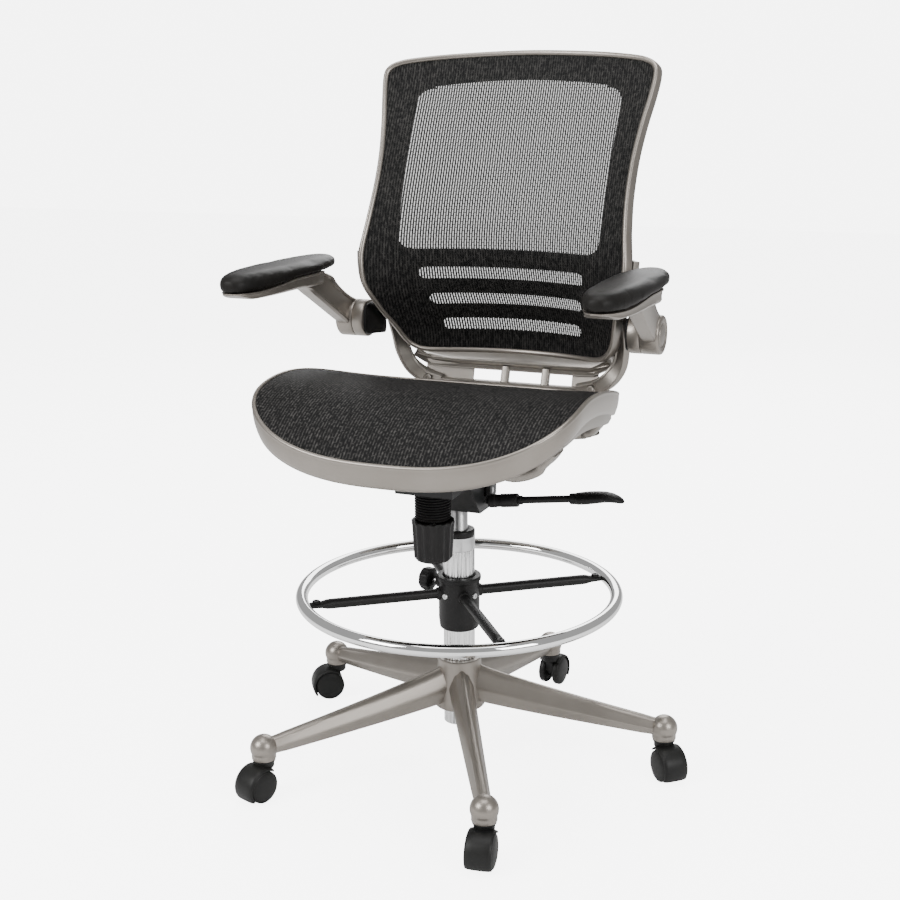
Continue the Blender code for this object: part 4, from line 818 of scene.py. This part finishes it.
def back():
    outline = back_outline(7)
    section = ((0.0, 0.0034), (0.0004, 0.0016), (0.0016, 0.0004), (0.0034, 0.0), (0.0052, 0.0002),
            (0.0074, 0.0014), (0.0084, 0.0026), (RIM_FACE, 0.005), (RIM_FACE, RIM_DEPTH - 0.002),
            (RIM_FACE - 0.0016, RIM_DEPTH - 0.0004), (0.0046, RIM_DEPTH), (0.0018, RIM_DEPTH - 0.0006),
            (0.0006, RIM_DEPTH - 0.0022), (0.0, RIM_DEPTH * 0.55))
    rings = []
    for index, point in enumerate(outline):
        along = (outline[(index + 1) % len(outline)] - outline[index - 1]).normalized()
        centre, normal = back_point(point.x, point.y)
        tangent = Vector((along.x, 0.0, along.y))
        tangent = (tangent - normal * tangent.dot(normal)).normalized()
        inward = normal.cross(tangent).normalized()
        rings.append([centre + inward * a - normal * b for a, b in section])
    finish_piece("back_rim", Shape().loft(rings, closed=True), SILVER, "seat", "back_frame", angle=55)
    back_panels(outline)


def rounded_window(half, low, high, radius, steps):
    """A closed (x, z) outline with rounded corners."""
    points = []
    for cx, cz, start in ((half - radius, low + radius, -90), (half - radius, high - radius, 0),
            (-half + radius, high - radius, 90), (-half + radius, low + radius, 180)):
        for step in range(steps + 1):
            turn = math.radians(start + 90 * step / steps)
            points.append((cx + radius * math.cos(turn), cz + radius * math.sin(turn)))
    return points


def window_half(z):
    return WINDOW_SHARE * (along_table(BACK_RIM, 1, z) - RIM_FACE - 0.0016)


def back_panels(outline):
    loop = [rim_inset(outline, index, 0.0062) for index in range(len(outline))]
    border = [(p.x, p.y) for p in loop]
    knit = sheet_inside(border, [], 0.0034)
    piece = finish_piece("back_knit", knit, BACK_WEAVE, "seat", "back_mesh", angle=80)
    low, high = WINDOW_Z
    window = []
    for x, z in rounded_window(1.0, low, high, 0.022, 8):
        if window and z == high and window[-1][1] == high:
            window += [(0.95 - 0.1 * step, high) for step in range(20)]
        window.append((x, z))
    scaled = []
    radius = 0.024
    for x, z in window:
        corner = 1.0
        for edge in (low, high):
            near = min(1.0, abs(z - edge) / radius)
            corner = min(corner, 1 - (1 - math.sqrt(1 - (1 - near) ** 2)) * radius / 0.17)
        half = window_half(z) * (corner if abs(x) > 0.9 else 1.0)
        bow = 0.013 * (1 - x * x) if z > (low + high) / 2 else 0.0
        scaled.append((x * half, z + bow))
    holes = [scaled]
    for z0, z1 in SLOTS_Z:
        half = SLOT_SHARE * (along_table(BACK_RIM, 1, (z0 + z1) / 2) - RIM_FACE - 0.0016)
        holes.append(rounded_window(half, z0, z1, (z1 - z0) / 2 - 0.0002, 6))
    shell = sheet_inside(border, holes, 0.0052)
    piece = finish_piece("back_shell_skin", shell, BLACK, "seat", "back_shell", angle=60)
    wall = piece.modifiers.new("wall", "SOLIDIFY")
    wall.thickness = 0.0026
    wall.offset = -1.0


def sheet_inside(border, holes, behind):
    """A sheet filling an outline but for its holes, laid on the back's surface."""
    bm = bmesh.new()
    for loop in [border] + holes:
        ring = [bm.verts.new((x, z, 0.0)) for x, z in loop]
        for first, second in zip(ring, ring[1:] + ring[:1]):
            bm.edges.new((first, second))
    bmesh.ops.triangle_fill(bm, use_beauty=True, use_dissolve=False, edges=bm.edges)
    for number in range(-12, 13):
        cut_sheet(bm, (number * 0.018, 0, 0), (1, 0, 0))
    for number in range(28):
        cut_sheet(bm, (0, 0.618 + number * 0.018, 0), (0, 1, 0))
    shape = Shape()
    bm.verts.index_update()
    for vert in bm.verts:
        spot, _ = back_point(vert.co.x, vert.co.y, behind)
        shape.points.append(spot)
        shape.metres.append((vert.co.x * 1.04, vert.co.y * 1.06))
    for face in bm.faces:
        shape.faces.append(tuple(vert.index for vert in face.verts))
    bm.free()
    return shape


def cut_sheet(bm, place, normal):
    geometry = list(bm.verts) + list(bm.edges) + list(bm.faces)
    bmesh.ops.bisect_plane(bm, geom=geometry, plane_co=place, plane_no=normal, dist=1e-6)


def back_bracket():
    """Two uprights, two cross bars that turn up into them, ribs between the bars and two rails."""
    thick = 0.011
    path = [Vector((0.12, 0.219, 0.564)), Vector((0.148, 0.219, 0.572)), Vector((0.172, 0.217, 0.588)),
            Vector((0.188, 0.2185, 0.612))]
    for z, inset in ((0.642, 0.003), (0.67, 0.012), (0.7, 0.02), (0.735, 0.012), (0.784, 0.008)):
        spot, _ = back_point(along_table(BACK_RIM, 1, z) - inset, z, RIM_DEPTH + 0.0022 + thick / 2)
        path.append(spot)
    path = curve_points(path, 6)
    casting = Shape()
    half_w, half_t = 0.013, thick / 2
    channel = ((-half_w, -half_t), (half_w, -half_t), (half_w, half_t * 0.6), (half_w - 0.0012, half_t),
            (half_w - 0.0034, half_t), (half_w - 0.0048, half_t * 0.5), (-half_w + 0.0048, half_t * 0.5),
            (-half_w + 0.0034, half_t), (-half_w + 0.0012, half_t), (-half_w, half_t * 0.6))
    for side in (-1, 1):
        rings = []
        mirrored = [Vector((side * p.x, p.y, p.z)) for p in path]
        for index, point in enumerate(mirrored):
            before = mirrored[max(index - 1, 0)]
            after = mirrored[min(index + 1, len(mirrored) - 1)]
            along = (after - before).normalized()
            _, normal = back_point(point.x, max(point.z, 0.66))
            normal = (normal - along * normal.dot(along)).normalized()
            across = along.cross(normal)
            narrow = 1.0 if index < len(mirrored) - 8 else 1.0 - 0.04 * (index - len(mirrored) + 8)
            rings.append([point + across * (a * narrow) + normal * b for a, b in channel])
        casting.loft(rings)
        rail = curve_points([(side * 0.1, 0.222, 0.562), (side * 0.099, 0.211, 0.54),
                (side * 0.092, 0.182, 0.5264), (side * 0.068, 0.11, 0.5262), (side * 0.06, 0.0856, 0.5262)],
                6)
        casting.sweep(rail, [soft_box(0.028, 0.012)] * len(rail))
    for z, y, reach, lift in ((0.5958, 0.2325, 0.124, 0.016), (0.564, 0.2205, 0.104, 0.012)):
        side_points = [(reach, y, z), (reach + 0.022, y, z + 0.003), (reach + 0.046, y - 0.004, z + lift)]
        bar = [(-x, a, b) for x, a, b in reversed(side_points)] + [(0.0, y, z)] + side_points
        bar = curve_points(bar, 8)
        trough = ((-0.0065, -0.0072), (0.0065, -0.0072), (0.0065, 0.0072), (-0.0045, 0.0072),
                (-0.0062, 0.006), (-0.0056, 0.004), (-0.002, 0.0015), (-0.001, -0.0015), (-0.0035, -0.004),
                (-0.0062, -0.0052))
        casting.sweep(bar, [[(-a, b) for a, b in trough]] * len(bar))
    for side, inner in ((-1, 0.066), (1, 0.106)):
        web = []
        for x in (inner, 0.15):
            rise = 0.006 * (x - inner) / 0.04
            web.append([Vector((side * x, y, z + rise)) for y, z in ((0.2235, 0.56), (0.2275, 0.56),
                    (0.238, 0.596), (0.233, 0.596))])
        casting.loft(web)
    for x in (-0.009, 0.061):
        rib = [Vector((x, 0.223, 0.566)), Vector((x, 0.228, 0.58)), Vector((x, 0.233, 0.594))]
        casting.sweep(rib, [soft_box(0.013, 0.012)] * 3, up=Vector((0, 1, 0)))
    shelf = []
    for step in range(41):
        share = step / 20 - 1
        lift = 0.01 * abs(share) ** 6
        row = ((0.229, 0.6035), (0.236, 0.5975), (0.244, 0.595), (0.256, 0.5965), (0.27, 0.601),
               (0.283, 0.6085), (0.285, 0.607), (0.271, 0.5985), (0.256, 0.593), (0.243, 0.5905),
               (0.234, 0.5925), (0.2275, 0.599))
        shelf.append([Vector((0.17 * share, y, z + lift)) for y, z in row])
    casting.loft(shelf)
    for side in (-1, 1):
        casting.lathe(mm((0.1, 0), (5.8, 0), (5.8, 2), (4.6, 3), (2.8, 3), (2.6, 1.4), (0.1, 1.4)), 24,
                (0, -1, 0.1), (side * 0.142, 0.2135, 0.5705))
    finish_piece("back_casting", casting, CAST, "seat", "back_bracket", angle=38,
            bevel=0.0006)


# ---------------------------------------------------------------- arms
def arms():
    hub = joint_place("arm_flip_left")
    for side, word in ((-1, "right"), (1, "left")):
        low, high = node_box(f"arm_hub_{word}")
        inner = min(abs(low.x), abs(high.x))
        place = Vector((side * inner, hub.y, hub.z))
        ring = Shape().lathe(mm((0.1, 0), (28, 0), (29.8, 0.6), (30.5, 2), (30.5, 18), (30, 19.2),
                (29, 19.5), (6.2, 19.5)), 72, (side, 0, 0), place)
        finish_piece(f"hub_{word}", ring, SILVER, "seat", f"arm_hub_{word}")
        mount = Shape()
        face = inner - 0.0004
        rings = []
        for x, back, drop, length, height in ((face, 0, 0, 0.05, 0.052),
                (face - 0.003, 0.001, 0, 0.049, 0.052), (0.215, 0.01, 0.002, 0.034, 0.048),
                (0.21, 0.03, 0.006, 0.016, 0.044)):
            outline = soft_box(length, height, 0.6, 40)
            rings.append([Vector((side * x, hub.y + back + a, hub.z - drop + b)) for a, b in outline])
        mount.loft(rings)
        finish_piece(f"mount_{word}", mount, BLACK, "seat", f"arm_mount_{word}")
        arm(side, word, hub, inner + 0.0195 + 0.0003)


def arm(side, word, hub, start):
    """The swinging half: a hub disc, a bladed strut and the tray under the pad."""
    body = Shape()
    width = 0.031
    body.lathe(((0.0062, 0.0), (0.029, 0.0), (0.03, 0.0004), (0.0305, 0.0014), (0.0305, width - 0.005),
            (0.03, width - 0.003), (0.0285, width - 0.0016), (0.0262, width - 0.001),
            (0.0245, width - 0.0008), (0.0238, width - 0.0016), (0.02, width - 0.002),
            (0.019, width - 0.003), (0.017, width - 0.003), (0.016, width - 0.0018), (0.01, width - 0.001),
            (0.0001, width - 0.0006)), 80, (side, 0, 0), (side * start, hub.y, hub.z))
    front = curve_points([(0.158, 0.648, 0), (0.14, 0.663, 0), (0.1, 0.6858, 0), (0.06, 0.7087, 0),
            (0.025, 0.7287, 0), (0.0, 0.7415, 0), (-0.05, 0.747, 0)], 5)
    rear = curve_points([(0.178, 0.699, 0), (0.16, 0.706, 0), (0.138, 0.715, 0), (0.116, 0.727, 0),
            (0.098, 0.74, 0), (0.084, 0.753, 0), (0.05, 0.764, 0)], 5)
    # going round a cross section: share of the width, share from the front edge to the rear edge
    section = ((0.06, 0.05), (0.16, 0.0), (0.84, 0.0), (0.96, 0.03), (1.0, 0.08), (1.0, 0.5), (1.0, 0.92),
            (0.96, 0.97), (0.84, 1.0), (0.16, 1.0), (0.05, 0.97), (0.0, 0.93), (0.0, 0.9), (0.05, 0.86),
            (0.12, 0.84), (0.12, 0.5), (0.12, 0.16), (0.05, 0.14), (0.0, 0.11), (0.01, 0.08))
    rings = []
    count = len(front)
    for index in range(count):
        share = index / (count - 1)
        f, r = front[index], rear[index]
        x_in = start + 0.001 + 0.006 * share
        x_out = start + width - 0.006 + 0.014 * share ** 1.5
        rings.append([Vector((side * (x_in + (x_out - x_in) * u), f.x + (r.x - f.x) * v,
                f.y + (r.y - f.y) * v)) for u, v in section])
    body.loft(rings)
    tray(body, side)
    finish_piece(f"arm_{word}", body, SILVER, f"arm_{word}", f"arm_body_{word}", angle=34, bevel=0.0006)
    pad(side, word)


PAD_X, PAD_Y, PAD_HALF_L, PAD_HALF_W, PAD_UNDER_Z, PAD_H = 0.272, -0.045, 0.155, 0.042, 0.758, 0.028


def ease(value):
    value = min(1.0, max(0.0, value))
    return value * value * (3 - 2 * value)


def pad_under(y):
    """The seam between pad and tray: low under the nose, higher from the elbow back."""
    return PAD_UNDER_Z + 0.0006 + 0.0085 * ease((y + 0.165) / 0.12)


def pad_ring(side, inset, rise, count=72):
    """A level line round the pad: inset from its outline, rise as a share of its height."""
    ring = []
    top = PAD_UNDER_Z + PAD_H - 0.0005
    for turn in full_turn(count):
        x = (PAD_HALF_W - inset) * swollen(math.cos(turn), 0.8)
        y = PAD_Y + (PAD_HALF_L - inset) * swollen(math.sin(turn), 0.85)
        seam = pad_under(y)
        nose = 0.002 * ease((-0.12 - y) / 0.08)
        ring.append(Vector((side * PAD_X + x, y, seam + (top - nose - seam) * rise)))
    return ring


def tray(body, side):
    """The silver carrier under the pad: a rimmed tray whose keel deepens towards the strut."""
    rings = []
    stations = 30
    for step in range(stations + 1):
        along = -0.9985 + 1.52 * step / stations
        y = PAD_Y + (PAD_HALF_L - 0.0035) * along
        outline = (PAD_HALF_W - 0.0035) * max(0.02, 1 - abs(along) ** (2 / 0.85)) ** (0.8 / 2)
        slim = ease((y - 0.005) / 0.06)
        half = outline + (0.0235 - outline) * slim
        centre = side * (PAD_X - 0.01 * slim)
        top = pad_under(y) - 0.0004
        keel = 0.7475 - 0.0025 * ease((y + 0.06) / 0.08) + 0.0085 * (1 - ease((y + 0.1975) / 0.035))
        depth = top - keel
        section = ((1.0, 0.0), (1.0, 0.1), (0.95, 0.17), (0.93, 0.5), (0.94, 0.72), (0.9, 0.86),
                (0.8, 0.96), (0.62, 1.0))
        ring = [Vector((centre + half * u, y, top - depth * v)) for u, v in section]
        ring += [Vector((centre - half * u, y, top - depth * v)) for u, v in reversed(section)]
        rings.append(ring)
    body.loft(rings)


def pad(side, word):
    rings = [pad_ring(side, 0.0055, 0.0), pad_ring(side, 0.0022, 0.02), pad_ring(side, 0.0008, 0.14),
            pad_ring(side, 0.0, 0.34), pad_ring(side, 0.0006, 0.54), pad_ring(side, 0.0026, 0.71),
            pad_ring(side, 0.0062, 0.84), pad_ring(side, 0.0118, 0.93), pad_ring(side, 0.02, 0.98),
            pad_ring(side, 0.03, 1.0), pad_ring(side, 0.0405, 1.0)]
    shape = Shape().loft(rings)
    piece = inflate(f"pad_{word}", shape, word)


def inflate(name, shape, word):
    """Let the cushion swell as cloth under pressure, hold it within a few millimetres, and keep the result."""
    piece = add_object(name, mesh_of(name, shape))
    remesh = piece.modifiers.new("voxels", "REMESH")
    remesh.mode = "VOXEL"
    remesh.voxel_size = 0.005
    apply_all(piece)
    rest = [v.co.copy() for v in piece.data.vertices]
    cloth = piece.modifiers.new("cloth", "CLOTH")
    cloth.settings.use_pressure = True
    cloth.settings.uniform_pressure_force = 4.0
    cloth.settings.effector_weights.gravity = 0.0
    cloth.settings.quality = 5
    cloth.point_cache.frame_end = 20
    for number in range(1, 21):
        bpy.context.scene.frame_set(number)
    apply_all(piece)
    bpy.context.scene.frame_set(1)
    for vert, start in zip(piece.data.vertices, rest):
        moved = vert.co - start
        limit = 0.0016
        if moved.length > limit:
            moved *= limit / moved.length
        vert.co = start + moved
        vert.co.z = max(vert.co.z, pad_under(vert.co.y - AXIS.y))
    smooth = piece.modifiers.new("smooth", "SUBSURF")
    smooth.levels = smooth.render_levels = 1
    piece.data.materials.append(SKIN)
    piece.data.shade_smooth()
    return hand_over(piece, f"arm_{word}", f"arm_pad_{word}")


def apply_all(piece):
    graph = bpy.context.evaluated_depsgraph_get()
    made = bpy.data.meshes.new_from_object(piece.evaluated_get(graph))
    piece.modifiers.clear()
    piece.data = made


# ---------------------------------------------------------------- studio
def studio():
    mesh = bpy.data.meshes.new("floor")
    corners = ((-9, -9), (9, -9), (9, 9), (-9, 9))
    mesh.from_pydata([(x, y, -0.0002) for x, y in corners], [], [(0, 1, 2, 3)])
    material, nodes, links, shader = shader_of("floor", (0.9, 0.9, 0.9), 0.8, specular=0.0)
    shader.inputs["Emission Color"].default_value = (1.0, 1.0, 1.0, 1.0)
    seen = nodes.new("ShaderNodeLightPath")
    links.new(spread(nodes, links, seen.outputs["Is Camera Ray"], 0.0, 5.6),
            shader.inputs["Emission Strength"])
    mesh.materials.append(material)
    add_object("floor", mesh)

    world = bpy.data.worlds.new("studio")
    world.use_nodes = True
    nodes, links = world.node_tree.nodes, world.node_tree.links
    backdrop = nodes["Background"]
    backdrop.inputs["Color"].default_value = (1.0, 1.0, 1.0, 1.0)
    seen = nodes.new("ShaderNodeLightPath")
    links.new(spread(nodes, links, seen.outputs["Is Camera Ray"], 0.42, 6.3), backdrop.inputs["Strength"])
    bpy.context.scene.world = world

    lights = (("key", (-2.0, -2.8, 2.6), (0, 0, 0.6), 1.8, 130.0),
            ("fill", (3.0, -1.6, 1.9), (0, 0, 0.6), 1.6, 75.0),
            ("top", (0.1, -0.2, 3.4), (0, 0, 0.5), 2.2, 75.0),
            ("rear", (-0.8, 3.0, 2.2), (0, 0, 0.8), 2.0, 60.0))
    for name, place, aim, size, power in lights:
        data = bpy.data.lights.new(name, "AREA")
        data.size = size
        data.energy = power
        light = add_object(name, data)
        light.location = AXIS + Vector(place)
        light.rotation_euler = (Vector(aim) - Vector(place)).to_track_quat("-Z", "Y").to_euler()


def camera():
    data = bpy.data.cameras.new("camera")
    data.sensor_width = 36.0
    data.lens = 56.544
    data.clip_start = 0.05
    data.shift_x = 0.0013333
    view = add_object("camera", data)
    tilt, turn, roll = (math.radians(v) for v in (14.21, 22.73, -0.393))
    forward = Matrix.Rotation(turn, 3, "Z") @ Vector((0, math.cos(tilt), -math.sin(tilt)))
    right = forward.cross(UP).normalized()
    upward = right.cross(forward)
    rolled = right * math.cos(roll) + upward * math.sin(roll)
    upward = upward * math.cos(roll) - right * math.sin(roll)
    matrix = Matrix((rolled, upward, -forward)).transposed().to_4x4()
    matrix.translation = AXIS + Vector((0.7923, -1.929, 1.0358))
    view.matrix_world = matrix
    bpy.context.scene.camera = view


def build_looks():
    camera()
    studio()
    base()
    gas_lift()
    for number in range(1, 6):
        caster(number)
    foot_ring()
    mechanism()
    seat()
    back()
    back_bracket()
    arms()
    for node in ("piston_rod", "valve_button", "clamp_stud", "tilt_shaft", "tension_spring", "tension_bolt"):
        keep_node(node, ZINC)
    for number in range(1, 6):
        keep_node(f"caster_stem_{number}", ZINC)


build_looks()
